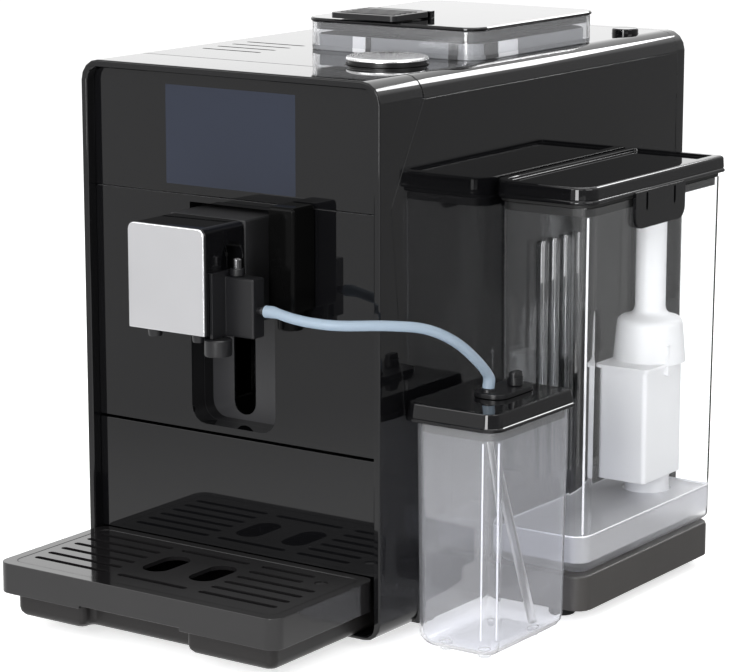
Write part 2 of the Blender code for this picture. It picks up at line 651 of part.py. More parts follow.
def new_collection(name):
    """A collection under the scene's own."""
    collection = bpy.data.collections.new(name)
    bpy.context.scene.collection.children.link(collection)
    return collection


def new_material(name, colour, roughness, metallic=0.0):
    """A Principled material, its display colour the same as its base colour."""
    material = bpy.data.materials.new(name)
    material.use_nodes = True
    shader = material.node_tree.nodes["Principled BSDF"]
    shader.inputs["Base Color"].default_value = (*colour, 1.0)
    shader.inputs["Roughness"].default_value = roughness
    shader.inputs["Metallic"].default_value = metallic
    material.diffuse_color = (*colour, 1.0)
    return material


clear_scene()
PARTS = new_collection("coffee_machine")
CUTTERS = new_collection("cutters")

GLOSS_BLACK = new_material("gloss_black", (0.012, 0.012, 0.014), 0.08)
DARK_BEZEL = new_material("dark_bezel", (0.03, 0.03, 0.034), 0.3)
MATTE_BLACK = new_material("matte_black", (0.02, 0.02, 0.022), 0.55)
TRAY_BROWN = new_material("tray_brown", (0.035, 0.03, 0.03), 0.45)
LEDGE_GREY = new_material("ledge_grey", (0.06, 0.057, 0.055), 0.5)
FRONT_GLASS = new_material("front_glass", (0.01, 0.01, 0.012), 0.04)
DISPLAY_GREY = new_material("display_grey", (0.05, 0.055, 0.08), 0.2)
SATIN_SILVER = new_material("satin_silver", (0.62, 0.62, 0.63), 0.3, 1.0)
LIGHT_CHROME = new_material("light_chrome", (0.75, 0.75, 0.76), 0.12, 1.0)
CAP_GREY = new_material("cap_grey", (0.3, 0.3, 0.31), 0.4)
CLEAR_TANK = new_material("clear_tank", (0.72, 0.76, 0.8), 0.05)
CLEAR_HOPPER = new_material("clear_hopper", (0.6, 0.62, 0.65), 0.05)
CLEAR_HOSE = new_material("clear_hose", (0.85, 0.86, 0.86), 0.2)
FILTER_WHITE = new_material("filter_white", (0.86, 0.86, 0.86), 0.4)
SEAL_BLACK = new_material("seal_black", (0.015, 0.015, 0.015), 0.7)
FOOT_RUBBER = new_material("foot_rubber", (0.02, 0.02, 0.02), 0.8)
FRAME_GREY = new_material("frame_grey", (0.25, 0.25, 0.26), 0.5)
BOILER_METAL = new_material("boiler_metal", (0.6, 0.6, 0.61), 0.35, 1.0)
BOARD_GREEN = new_material("board_green", (0.02, 0.12, 0.05), 0.5)


def axis_empty(name, place, holder=None):
    """An empty on a joint's axis; what moves on that joint is parented to it."""
    empty = bpy.data.objects.new(name, None)
    empty.empty_display_size = FOOT_RADIUS
    PARTS.objects.link(empty)
    empty.location = place
    if holder is not None:
        hold(empty, holder)
    return empty


def hold(piece, holder):
    """Parent a piece to its holder, with its location still read in the housing's frame."""
    piece.parent = holder
    if holder is not ROOT:
        piece.matrix_parent_inverse = Matrix.Translation(-holder.location)
    return piece


def add_piece(name, mesh, material):
    """Link a mesh as a piece of the machine, held by the root."""
    mesh.materials.append(material)
    piece = bpy.data.objects.new(name, mesh)
    PARTS.objects.link(piece)
    return hold(piece, ROOT)


def middle(limits):
    """The middle of a pair of limits."""
    return (limits[0] + limits[1]) / 2


def length(limits):
    """The length between a pair of limits."""
    return limits[1] - limits[0]


def grown(limits, amount):
    """A pair of limits moved apart by the same amount on both sides."""
    return (limits[0] - amount, limits[1] + amount)


def round_edges(piece, width, segments):
    """Round the sharp edges of a piece."""
    modifier = piece.modifiers.new("rounding", "BEVEL")
    modifier.width = width
    modifier.segments = segments
    modifier.limit_method = "ANGLE"
    modifier.angle_limit = SHARP_ANGLE
    return piece


def box(name, x, y, z, material, rounding=0.0, segments=1):
    """A block between two limits on each axis."""
    mesh = bpy.data.meshes.new(name)
    form = bmesh.new()
    bmesh.ops.create_cube(form, size=1.0)
    bmesh.ops.scale(form, vec=(length(x), length(y), length(z)), verts=form.verts)
    form.to_mesh(mesh)
    form.free()
    piece = add_piece(name, mesh, material)
    piece.location = (middle(x), middle(y), middle(z))
    if rounding > 0:
        round_edges(piece, rounding, segments)
    return piece


def filleted(corners, steps=CORNER_STEPS):
    """An outline from (x, y, radius) corners, in which each radius becomes an arc."""
    points = []
    for index, (x, y, radius) in enumerate(corners):
        corner = Vector((x, y))
        if radius == 0:
            points.append(tuple(corner))
            continue
        before = (Vector(corners[index - 1][:2]) - corner).normalized()
        after = (Vector(corners[(index + 1) % len(corners)][:2]) - corner).normalized()
        half = before.angle(after) / 2
        centre = corner + (before + after).normalized() * radius / math.sin(half)
        first = corner + before * radius / math.tan(half) - centre
        last = corner + after * radius / math.tan(half) - centre
        swing = math.pi - 2 * half
        for step in range(steps + 1):
            share = step / steps
            arm = first * math.sin((1 - share) * swing) + last * math.sin(share * swing)
            points.append(tuple(centre + arm / math.sin(swing)))
    return points


def rounded(x, y, radius, steps=CORNER_STEPS):
    """A rectangle's outline with four round corners, anticlockwise from the lower left."""
    corners = ((x[0], y[0]), (x[1], y[0]), (x[1], y[1]), (x[0], y[1]))
    return filleted([(a, b, radius) for a, b in corners], steps)


def arched(x, y, top_radius, foot_radius=0.0, steps=CORNER_STEPS):
    """A rectangle's outline whose upper corners are round by one radius and lower ones by another."""
    return filleted([
        (x[0], y[0], foot_radius),
        (x[1], y[0], foot_radius),
        (x[1], y[1], top_radius),
        (x[0], y[1], top_radius),
    ], steps)


def circle(x, y, radius, steps=ROUND_STEPS):
    """A round outline."""
    turns = [2 * math.pi * step / steps for step in range(steps)]
    return [(x + radius * math.cos(turn), y + radius * math.sin(turn)) for turn in turns]


def prism(name, outlines, limits, axis, material):
    """Flat outlines extruded between two limits along an axis; an outline inside another is a hole."""
    curve = bpy.data.curves.new(name, "CURVE")
    curve.dimensions = "2D"
    curve.fill_mode = "BOTH"
    curve.extrude = length(limits) / 2
    for outline in outlines:
        spline = curve.splines.new("POLY")
        spline.points.add(len(outline) - 1)
        for point, (a, b) in zip(spline.points, outline):
            point.co = (a, b, 0.0, 1.0)
        spline.use_cyclic_u = True
    guide = bpy.data.objects.new(name + "_outline", curve)
    CUTTERS.objects.link(guide)
    evaluated = guide.evaluated_get(bpy.context.evaluated_depsgraph_get())
    mesh = bpy.data.meshes.new_from_object(evaluated)
    mesh.name = name
    form = bmesh.new()
    form.from_mesh(mesh)
    bmesh.ops.remove_doubles(form, verts=form.verts, dist=MERGE_DISTANCE)
    bmesh.ops.recalc_face_normals(form, faces=form.faces)
    form.to_mesh(mesh)
    form.free()
    bpy.data.objects.remove(guide, do_unlink=True)
    piece = add_piece(name, mesh, material)
    piece.rotation_euler = TURNS[axis]
    piece.location = {
        "Z": (0.0, 0.0, middle(limits)),
        "Y": (0.0, middle(limits), 0.0),
        "X": (middle(limits), 0.0, 0.0),
    }[axis]
    return piece


def turned(name, profile, place, material, axis="Z", steps=ROUND_STEPS):
    """A (radius, height) profile spun about its axis; it runs down its outer side.

    A profile that starts and ends on the axis is solid, and any other is a closed ring.
    """
    mesh = bpy.data.meshes.new(name)
    form = bmesh.new()
    points = [form.verts.new((radius, 0.0, height)) for radius, height in profile]
    for upper, lower in zip(points, points[1:]):
        form.edges.new((upper, lower))
    if profile[0][0] > 0:
        form.edges.new((points[-1], points[0]))
    form.to_mesh(mesh)
    form.free()
    piece = add_piece(name, mesh, material)
    piece.location = place
    piece.rotation_euler = {"Z": (0.0, 0.0, 0.0), "X": (0.0, math.pi / 2, 0.0)}[axis]
    screw = piece.modifiers.new("turning", "SCREW")
    screw.steps = steps
    screw.render_steps = steps
    screw.use_merge_vertices = True
    screw.merge_threshold = MERGE_DISTANCE
    screw.use_smooth_shade = True
    return piece


def stack(rings, closed_below, closed_above):
    """Faces between outlines of the same count that are stacked from the top down."""
    form = bmesh.new()
    levels = [[form.verts.new((x, y, height)) for x, y in outline] for height, outline in rings]
    count = len(levels[0])
    for upper, lower in zip(levels, levels[1:]):
        for index in range(count):
            following = (index + 1) % count
            form.faces.new((upper[index], lower[index], lower[following], upper[following]))
    if closed_below:
        form.faces.new(list(reversed(levels[-1])))
    if closed_above:
        form.faces.new(levels[0])
    return form


def place_stack(name, form, axis, material):
    """Turn a stack of outlines into a piece whose heights run along an axis."""
    mesh = bpy.data.meshes.new(name)
    form.to_mesh(mesh)
    form.free()
    piece = add_piece(name, mesh, material)
    piece.rotation_euler = TURNS[axis]
    return piece


def vessel(name, rings, wall, material, axis="Z", open_below=False):
    """A thin-walled shell, open at its first outline; its walls grow inwards from the outlines."""
    piece = place_stack(name, stack(rings, not open_below, False), axis, material)
    shell = piece.modifiers.new("wall", "SOLIDIFY")
    shell.thickness = wall
    shell.offset = -1.0
    shell.use_even_offset = True
    shell.use_quality_normals = True
    return piece


def loft(name, rings, material):
    """A solid between outlines that are stacked from the top down."""
    return place_stack(name, stack(rings, True, True), "Z", material)


def fillet(radius, steps=FILLET_STEPS):
    """A quarter round as (height left, inset) pairs, from where it starts to its flat end."""
    turns = [math.pi / 2 * step / steps for step in range(1, steps + 1)]
    reach = radius * FILLET_REACH_SHARE
    return [(radius * (1 - math.sin(turn)), reach * (1 - math.cos(turn))) for turn in turns]


def stow(cutter):
    """Put a shape that only cuts or joins others out of the machine's own collection."""
    PARTS.objects.unlink(cutter)
    CUTTERS.objects.link(cutter)
    cutter.hide_render = True
    cutter.display_type = "WIRE"


def combine(piece, other, operation):
    """Join or cut a piece with another shape."""
    modifier = piece.modifiers.new(operation.lower(), "BOOLEAN")
    modifier.operation = operation
    modifier.solver = "EXACT"
    modifier.object = other
    stow(other)
    return piece


def cut(piece, *cutters):
    """Take shapes away from a piece."""
    for cutter in cutters:
        combine(piece, cutter, "DIFFERENCE")
    return piece


def fuse(piece, *others):
    """Join shapes to a piece so that they are one body."""
    for other in others:
        combine(piece, other, "UNION")
    return piece


def smooth_route(route, spacing):
    """Points at an even spacing along a smooth curve through a route's own points."""
    points = [Vector(point) for point in route]
    points = [2 * points[0] - points[1]] + points + [2 * points[-1] - points[-2]]
    fine = []
    for before, start, end, after in zip(points, points[1:], points[2:], points[3:]):
        for step in range(FINE_STEPS):
            t = step / FINE_STEPS
            fine.append(0.5 * (
                2 * start
                + (end - before) * t
                + (2 * before - 5 * start + 4 * end - after) * t * t
                + (3 * start - before - 3 * end + after) * t * t * t
            ))
    fine.append(points[-2])
    travelled = [0.0]
    for start, end in zip(fine, fine[1:]):
        travelled.append(travelled[-1] + (end - start).length)
    count = max(2, round(travelled[-1] / spacing))
    even = []
    index = 0
    for step in range(count):
        target = travelled[-1] * step / count
        while travelled[index + 1] < target:
            index += 1
        share = (target - travelled[index]) / (travelled[index + 1] - travelled[index])
        even.append(fine[index].lerp(fine[index + 1], share))
    return even + [fine[-1]]


def tube(name, points, radius, material, resolution=2):
    """A round tube along points, with closed ends."""
    curve = bpy.data.curves.new(name, "CURVE")
    curve.dimensions = "3D"
    curve.bevel_depth = radius
    curve.bevel_resolution = resolution
    curve.use_fill_caps = True
    spline = curve.splines.new("POLY")
    spline.points.add(len(points) - 1)
    for point, place in zip(spline.points, points):
        point.co = (*place, 1.0)
        point.radius = 1.0
    curve.materials.append(material)
    piece = bpy.data.objects.new(name, curve)
    PARTS.objects.link(piece)
    return hold(piece, ROOT)


def disc_profile(radius, top, bottom, chamfer=0.0):
    """The profile of a solid disc, with its edges taken off."""
    if chamfer == 0:
        return [(0.0, top), (radius, top), (radius, bottom), (0.0, bottom)]
    return [
        (0.0, top),
        (radius - chamfer, top),
        (radius, top - chamfer),
        (radius, bottom + chamfer),
        (radius - chamfer, bottom),
        (0.0, bottom),
    ]


def ring_profile(outer, inner, top, bottom):
    """The closed profile of a ring with a bore."""
    return [(outer, top), (outer, bottom), (inner, bottom), (inner, top)]


def seam_line(setback):
    """The kinked seam between bezel and side panels, from the bottom up, as (y, z) points."""
    return [
        (SEAM_FOOT_REACH + setback, 0.0),
        (SEAM_KNEE_REACH + setback, SEAM_KNEE_HEIGHT),
        (SEAM_WAIST_REACH + setback, SEAM_WAIST_HEIGHT),
        (SEAM_TOP_REACH + setback, TOP_PANEL_BOTTOM),
    ]


def make_front_bezel():
    """A closed frame round the front, cut back along the kinked seam at its sides."""
    outer = arched(
        (0.0, HOUSING_WIDTH), (-BEZEL_DROP, HOUSING_HEIGHT), HOUSING_CORNER, BEZEL_FOOT_CORNER
    )
    inner = arched(
        (BEZEL_WALL, HOUSING_WIDTH - BEZEL_WALL),
        (BEZEL_FLOOR, HOUSING_HEIGHT - BEZEL_WALL),
        BEZEL_INNER_CORNER,
        BEZEL_FOOT_CORNER - BEZEL_WALL,
    )
    bezel = prism("front_bezel", [outer, inner], (0.0, SEAM_TOP_REACH), "Y", DARK_BEZEL)
    round_edges(bezel, EDGE, 1)
    behind_seam = [
        (SEAM_TOP_REACH + OVERRUN, TOP_PANEL_BOTTOM),
        *reversed(seam_line(0.0)),
        (SEAM_FOOT_REACH, -BEZEL_DROP - OVERRUN),
        (SEAM_TOP_REACH + OVERRUN, -BEZEL_DROP - OVERRUN),
    ]
    width = grown((0.0, HOUSING_WIDTH), OVERRUN)
    return cut(bezel, prism("seam_cutter", [behind_seam], width, "X", DARK_BEZEL))


def side_outline(notch):
    """A side panel's outline in (y, z), anticlockwise, with a notch for the tank ledge if asked."""
    back = BACK_SEAM - GAP
    outline = []
    if notch:
        front_edge = LEDGE_Y[0] - GAP
        back_edge = LEDGE_Y[1] + GAP
        top_edge = LEDGE_HEIGHT + GAP
        outline = [(front_edge, 0.0), (front_edge, top_edge), (back_edge, top_edge), (back_edge, 0.0)]
    outline += [(back, 0.0), (back, TOP_PANEL_BOTTOM - GAP)]
    line = seam_line(GAP)
    line[-1] = (line[-1][0], TOP_PANEL_BOTTOM - GAP)
    return outline + list(reversed(line))


def make_side_panels():
    """The two side panels; the right one is notched where the tank ledge comes out."""
    left = prism("side_panel_left", [side_outline(False)], (0.0, WALL), "X", GLOSS_BLACK)
    right = prism(
        "side_panel_right",
        [side_outline(True)],
        (HOUSING_WIDTH - WALL, HOUSING_WIDTH),
        "X",
        GLOSS_BLACK,
    )
    return left, right


def make_top_panel():
    """The top panel, a flat arch with vents and openings for hopper, dial and button."""
    corner = HOUSING_CORNER
    outline = filleted([
        (0.0, TOP_PANEL_BOTTOM, 0.0),
        (WALL, TOP_PANEL_BOTTOM, 0.0),
        (WALL, HOUSING_HEIGHT - WALL, corner - WALL),
        (HOUSING_WIDTH - WALL, HOUSING_HEIGHT - WALL, corner - WALL),
        (HOUSING_WIDTH - WALL, TOP_PANEL_BOTTOM, 0.0),
        (HOUSING_WIDTH, TOP_PANEL_BOTTOM, 0.0),
        (HOUSING_WIDTH, HOUSING_HEIGHT, corner),
        (0.0, HOUSING_HEIGHT, corner),
    ])
    depth = (SEAM_TOP_REACH + GAP, BACK_SEAM - GAP)
    panel = prism("top_panel", [outline], depth, "Y", GLOSS_BLACK)
    openings = [
        rounded(
            grown(HOPPER_X, GAP - HOPPER_STEP),
            grown(HOPPER_Y, GAP - HOPPER_STEP),
            HOPPER_CORNER - HOPPER_STEP + GAP,
        ),
        circle(DIAL_X, DIAL_Y, DIAL_SHAFT_RADIUS + GAP),
        circle(BUTTON_X, BUTTON_Y, BUTTON_RADIUS + GAP),
    ]
    for row in range(VENT_COUNT):
        vent_middle = VENT_FIRST + row * VENT_PITCH
        vent = (vent_middle - VENT_SLOT / 2, vent_middle + VENT_SLOT / 2)
        span = (VENT_LEFT, VENT_LEFT + VENT_WIDTH)
        openings.append(rounded(span, vent, VENT_SLOT * ROUND_END_SHARE, END_STEPS))
    height = grown((HOUSING_HEIGHT - WALL, HOUSING_HEIGHT), OVERRUN)
    return cut(panel, prism("top_openings", openings, height, "Z", GLOSS_BLACK))


def make_back_cover():
    """A shallow cap that closes the back, with a small rounded edge and the inlet's opening."""
    def ring(y, inset):
        corner = HOUSING_CORNER - inset
        span = grown((0.0, HOUSING_WIDTH), -inset)
        return (-y, arched(span, (inset, HOUSING_HEIGHT - inset), corner, BACK_COVER_EDGE))

    rings = [ring(BACK_SEAM, 0.0), ring(HOUSING_DEPTH - BACK_COVER_EDGE, 0.0)]
    rings += [ring(HOUSING_DEPTH - rise, inset) for rise, inset in fillet(BACK_COVER_EDGE)]
    cover = vessel("back_cover", rings, WALL, GLOSS_BLACK, "Y")
    opening = box(
        "inlet_opening",
        grown((INLET_X, INLET_X), INLET_WIDTH / 2 + GAP),
        (HOUSING_DEPTH - WALL - OVERRUN, HOUSING_DEPTH + OVERRUN),
        grown((INLET_Z, INLET_Z), INLET_HEIGHT / 2 + GAP),
        MATTE_BLACK,
    )
    return cut(cover, opening)


def make_power_inlet():
    """The mains inlet: a block with a recess, in which three flat pins stand."""
    x = grown((INLET_X, INLET_X), INLET_WIDTH / 2)
    z = grown((INLET_Z, INLET_Z), INLET_HEIGHT / 2)
    inlet = box("power_inlet", x, INLET_Y, z, MATTE_BLACK)
    recess = filleted([
        (INLET_X - INLET_RECESS_WIDTH / 2, INLET_Z - INLET_RECESS_HEIGHT / 2, EDGE),
        (INLET_X + INLET_RECESS_WIDTH / 2, INLET_Z - INLET_RECESS_HEIGHT / 2, EDGE),
        (INLET_X + INLET_RECESS_WIDTH / 2, INLET_Z + INLET_RECESS_HEIGHT / 2, INLET_CORNER),
        (INLET_X - INLET_RECESS_WIDTH / 2, INLET_Z + INLET_RECESS_HEIGHT / 2, INLET_CORNER),
    ])
    depth = (INLET_Y[1] - INLET_RECESS_DEPTH, INLET_Y[1] + OVERRUN)
    cut(inlet, prism("inlet_recess", [recess], depth, "Y", MATTE_BLACK))
    for offset, rise in ((-1, 0), (0, 1), (1, 0)):
        pin_x = INLET_X + offset * INLET_PIN_SPACING
        pin_z = INLET_Z + rise * INLET_PIN_RISE
        fuse(inlet, box(
            "inlet_pin",
            grown((pin_x, pin_x), INLET_PIN_WIDTH / 2),
            (depth[0] - OVERRUN, INLET_Y[1] - OVERRUN),
            grown((pin_z, pin_z), INLET_PIN_HEIGHT / 2),
            MATTE_BLACK,
        ))
    return inlet


def make_base_chassis():
    """The base plate with its two arms beside the drip tray and the hollow ledge under the tank."""
    left = WALL + GAP
    right = HOUSING_WIDTH - WALL - GAP
    outline = [
        (left, BASE_ARM_FRONT),
        (left + BASE_ARM_WIDTH, BASE_ARM_FRONT),
        (left + BASE_ARM_WIDTH, BASE_PLATE_FRONT),
        (right - BASE_ARM_WIDTH, BASE_PLATE_FRONT),
        (right - BASE_ARM_WIDTH, BASE_ARM_FRONT),
        (right, BASE_ARM_FRONT),
        (right, BACK_SEAM - GAP),
        (left, BACK_SEAM - GAP),
    ]
    base = prism("base_chassis", [outline], (0.0, BASE_THICKNESS), "Z", LEDGE_GREY)

    def ledge_ring(height, inset):
        x = (LEDGE_X[0], LEDGE_X[1] - inset)
        corner = LEDGE_CORNER - inset
        y = grown(LEDGE_Y, -inset)
        return (height, filleted([
            (x[0], y[0], 0.0),
            (x[1], y[0], corner),
            (x[1], y[1], corner),
            (x[0], y[1], 0.0),
        ]))

    edge = [ledge_ring(LEDGE_HEIGHT - drop, inset) for drop, inset in fillet(LEDGE_EDGE, END_STEPS)]
    straight = [ledge_ring(LEDGE_HEIGHT - LEDGE_EDGE, 0.0), ledge_ring(0.0, 0.0)]
    ledge = loft("ledge", [*reversed(edge), *straight], LEDGE_GREY)
    hollow = prism(
        "ledge_hollow",
        [rounded(
            (LEDGE_X[0] + WALL, LEDGE_X[1] - WALL),
            (LEDGE_Y[0] + LEDGE_SOLID_ENDS, LEDGE_Y[1] - LEDGE_SOCKET_END),
            WALL,
            END_STEPS,
        )],
        (-OVERRUN, LEDGE_HOLLOW),
        "Z",
        LEDGE_GREY,
    )
    socket = turned(
        "tank_socket",
        disc_profile(SOCKET_RADIUS, LEDGE_HEIGHT + OVERRUN, SOCKET_FLOOR),
        (TANK_MIDDLE, VALVE_Y, 0.0),
        LEDGE_GREY,
    )
    return cut(fuse(base, ledge), hollow, socket)


def make_feet():
    """Rubber feet, four under the housing and two under the tank ledge."""
    right = HOUSING_WIDTH - FOOT_INSET
    back = HOUSING_DEPTH - BACK_FOOT_INSET
    ledge = LEDGE_X[1] - LEDGE_FOOT_INSET
    places = {
        "foot_front_left": (FOOT_INSET, FRONT_FOOT_Y),
        "foot_front_right": (right, FRONT_FOOT_Y),
        "foot_back_left": (FOOT_INSET, back),
        "foot_back_right": (right, back),
        "foot_ledge_front": (ledge, LEDGE_Y[0] + LEDGE_FOOT_END),
        "foot_ledge_back": (ledge, LEDGE_Y[1] - LEDGE_FOOT_END),
    }
    profile = disc_profile(FOOT_RADIUS, -GAP, -FOOT_HEIGHT, FOOT_CHAMFER)
    return [turned(name, profile, (*place, 0.0), FOOT_RUBBER) for name, place in places.items()]


def make_front_glass():
    """The upper glass and the display module behind it."""
    z = (MIDDLE_TOP + PANEL_SEAM, UPPER_GLASS_TOP)
    outline = arched(FRONT_X, z, BEZEL_INNER_CORNER - GAP)
    glass = prism("upper_glass", [outline], FRONT_Y, "Y", FRONT_GLASS)
    display = box(
        "display_module",
        (DISPLAY_LEFT, DISPLAY_LEFT + DISPLAY_WIDTH),
        (FRONT_Y[1] + GAP, FRONT_Y[1] + GAP + DISPLAY_DEPTH),
        (DISPLAY_BOTTOM, DISPLAY_BOTTOM + DISPLAY_HEIGHT),
        DISPLAY_GREY,
    )
    return glass, display


def niche_outline(growth):
    """The spout niche's outline in (x, z), rounded at the bottom."""
    x = grown(NICHE_X, growth)
    z = grown(NICHE_Z, growth)
    corner = NICHE_CORNER + growth
    return filleted([(x[0], z[0], corner), (x[1], z[0], corner), (x[1], z[1], EDGE), (x[0], z[1], EDGE)])


def make_middle_fascia():
    """The middle panel with the niche's opening and the collar that runs back from it."""
    z = (DRAWER_TOP + DRAWER_SEAM, MIDDLE_TOP)
    fascia = prism("middle_fascia", [rounded(FRONT_X, z, EDGE, END_STEPS)], FRONT_Y, "Y", GLOSS_BLACK)
    collar_depth = (middle(FRONT_Y), FRONT_INSET + NICHE_STEP)
    collar = prism("niche_collar", [niche_outline(LINER_GROWTH)], collar_depth, "Y", GLOSS_BLACK)
    opening_depth = grown((FRONT_INSET, FRONT_INSET + NICHE_STEP), OVERRUN)
    opening = prism("niche_opening", [niche_outline(0.0)], opening_depth, "Y", GLOSS_BLACK)
    return cut(fuse(fascia, collar), opening)


def make_spout_recess():
    """The liner behind the niche, whose back wall has the slot for the carriage's stem."""
    start = FRONT_INSET + NICHE_STEP + GAP
    liner = prism(
        "spout_recess", [niche_outline(LINER_GROWTH)], (start, LINER_BACK), "Y", MATTE_BLACK
    )
    hollow = prism(
        "recess_hollow", [niche_outline(0.0)], (start - OVERRUN, NICHE_BACK), "Y", MATTE_BLACK
    )
    slot = prism(
        "recess_slot",
        [arched(
            SLOT_X,
            (NICHE_Z[0] + SLOT_RISE, NICHE_Z[1] - SLOT_HEADROOM),
            EDGE,
            SLOT_WIDTH / 2 - GAP,
        )],
        (NICHE_BACK - OVERRUN, LINER_BACK + OVERRUN),
        "Y",
        MATTE_BLACK,
    )
    return cut(liner, hollow, slot)


def make_spout_carriage(holder):
    """The block that carries the spout head, its stem through the slot and the slider behind."""
    block_back = NICHE_BACK - CARRIAGE_PLAY
    carriage = box(
        "spout_carriage", SPOUT_X, (-CARRIAGE_FRONT, block_back), SPOUT_Z, MATTE_BLACK, EDGE
    )
    slider_front = LINER_BACK + GAP
    stem = box(
        "carriage_stem",
        grown((SLOT_MIDDLE, SLOT_MIDDLE), STEM_WIDTH / 2),
        (block_back - OVERRUN, slider_front + OVERRUN),
        (SPOUT_Z[0] + STEM_RISE, SPOUT_Z[0] + STEM_RISE + STEM_HEIGHT),
        MATTE_BLACK,
    )
    slider = box(
        "carriage_slider",
        grown((SLOT_MIDDLE, SLOT_MIDDLE), SLIDER_WIDTH / 2),
        (slider_front, slider_front + SLIDER_DEPTH),
        (SPOUT_Z[0] + SLIDER_RISE, SPOUT_Z[0] + SLIDER_RISE + SLIDER_HEIGHT),
        MATTE_BLACK,
    )
    return hold(fuse(carriage, stem, slider), holder)


def make_spout_head(holder):
    """The glossy head, hollow from below, with an arched recess that the frother plugs into."""
    outline = arched(SPOUT_X, SPOUT_Z, SPOUT_CORNER)
    head = prism("spout_head", [outline], (-HEAD_REACH, HEAD_BACK), "Y", GLOSS_BLACK)
    recess_left = SPOUT_X[1] - HEAD_RECESS_WIDTH
    cavity_right = SPOUT_X[1] - HEAD_WALL
    cavity_front = -HEAD_REACH + HEAD_WALL
    cavity_step = -HEAD_RECESS_FRONT - HEAD_WALL
    cavity = [
        (SPOUT_X[0] + HEAD_WALL, cavity_front),
        (cavity_right, cavity_front),
        (cavity_right, cavity_step),
        (recess_left - HEAD_WALL, cavity_step),
        (recess_left - HEAD_WALL, HEAD_BACK - HEAD_WALL),
        (SPOUT_X[0] + HEAD_WALL, HEAD_BACK - HEAD_WALL),
    ]
    cavity_cutter = prism(
        "head_cavity",
        [cavity],
        (SPOUT_Z[0] - OVERRUN, SPOUT_Z[0] + HEAD_CAVITY_DEPTH),
        "Z",
        GLOSS_BLACK,
    )
    arch_depth = (-HEAD_RECESS_FRONT, HEAD_BACK - HEAD_WALL)
    arch = arched(
        arch_depth,
        (SPOUT_Z[0] - OVERRUN, SPOUT_Z[1] - HEAD_RECESS_ROOF),
        length(arch_depth) * ROUND_END_SHARE,
    )
    recess = prism(
        "head_recess", [arch], (recess_left, SPOUT_X[1] + OVERRUN), "X", GLOSS_BLACK
    )
    plate = prism(
        "spout_face_plate",
        [outline],
        (-HEAD_REACH - GAP - FACE_PLATE_THICKNESS, -HEAD_REACH - GAP),
        "Y",
        SATIN_SILVER,
    )
    hold(plate, holder)
    return hold(cut(head, cavity_cutter, recess), holder)


def make_coffee_nozzles(holder):
    """Two bored nozzles that hang from the head's cavity."""
    top = SPOUT_Z[0] + HEAD_CAVITY_DEPTH - GAP
    tip = SPOUT_Z[0] - NOZZLE_DROP
    profile = [
        (NOZZLE_RADIUS, top),
        (NOZZLE_RADIUS, SPOUT_Z[0]),
        (NOZZLE_TIP_RADIUS, tip),
        (NOZZLE_BORE, tip),
        (NOZZLE_BORE, top),
    ]
    for name, side in (("coffee_nozzle_left", -1), ("coffee_nozzle_right", 1)):
        place = (SPOUT_MIDDLE + side * NOZZLE_SPACING / 2, -NOZZLE_REACH, 0.0)
        hold(turned(name, profile, place, MATTE_BLACK), holder)


def make_frother(holder):
    """The milk frother beside the head: body with its barb, cap and round outlet."""
    front = -HEAD_RECESS_FRONT + GAP
    bottom = SPOUT_Z[0] - FROTHER_DROP
    right = SPOUT_X[1] + FROTHER_REACH
    inner = SPOUT_X[1] - HEAD_RECESS_WIDTH + GAP
    body = box(
        "frother_body",
        (inner, right),
        (front, front + FROTHER_BOX_DEPTH),
        (bottom, FROTHER_TOP),
        GLOSS_BLACK,
        EDGE,
    )
    slab = box(
        "frother_slab",
        (SPOUT_X[1] + GAP, SPOUT_X[1] + GAP + FROTHER_SLAB_THICKNESS),
        (front - FROTHER_SLAB_DEPTH, front + FROTHER_BOX_DEPTH / 2),
        (bottom, FROTHER_TOP + FROTHER_SLAB_RISE),
        GLOSS_BLACK,
    )
    barb = turned(
        "frother_barb",
        [
            (0.0, BARB_LENGTH),
            (BARB_RADIUS, BARB_LENGTH),
            (BARB_RIDGE, BARB_LENGTH / 2),
            (BARB_RADIUS, BARB_LENGTH / 2),
            (BARB_RADIUS, -OVERRUN),
            (0.0, -OVERRUN),
        ],
        (right, HOSE_DEPTH, BARB_HEIGHT),
        GLOSS_BLACK,
        "X",
    )
    hold(fuse(body, slab, barb), holder)
    collar_bottom = FROTHER_TOP + GAP
    cap_bottom = collar_bottom + CAP_COLLAR_HEIGHT
    cap = turned(
        "frother_cap",
        [
            (0.0, cap_bottom + CAP_HEIGHT),
            (CAP_RADIUS - EDGE, cap_bottom + CAP_HEIGHT),
            (CAP_RADIUS, cap_bottom + CAP_HEIGHT - EDGE),
            (CAP_RADIUS, cap_bottom),
            (CAP_COLLAR_RADIUS, cap_bottom),
            (CAP_COLLAR_RADIUS, collar_bottom),
            (0.0, collar_bottom),
        ],
        (SPOUT_X[1] + FROTHER_CAP_X, front + FROTHER_BOX_DEPTH / 2, 0.0),
        CAP_GREY,
    )
    hold(cap, holder)
    top = bottom - GAP
    outlet = turned(
        "milk_outlet",
        [
            (OUTLET_RADIUS - EDGE, top),
            (OUTLET_RADIUS, top - EDGE),
            (OUTLET_RADIUS, top - OUTLET_HEIGHT + EDGE),
            (OUTLET_RADIUS - EDGE, top - OUTLET_HEIGHT),
            (OUTLET_BORE, top - OUTLET_HEIGHT),
            (OUTLET_BORE, top - OUTLET_FUNNEL),
            (OUTLET_BORE / 2, top),
        ],
        (SPOUT_X[1] + FROTHER_SLAB_THICKNESS, -OUTLET_REACH, 0.0),
        MATTE_BLACK,
    )
    hold(outlet, holder)


def make_milk_hose():
    """The clear hose from the frother's barb to the stub on the milk lid."""
    points = smooth_route([HOSE_START, *HOSE_ROUTE, HOSE_END], HOSE_POINT_SPACING)
    return tube("milk_hose", points, HOSE_RADIUS, CLEAR_HOSE)


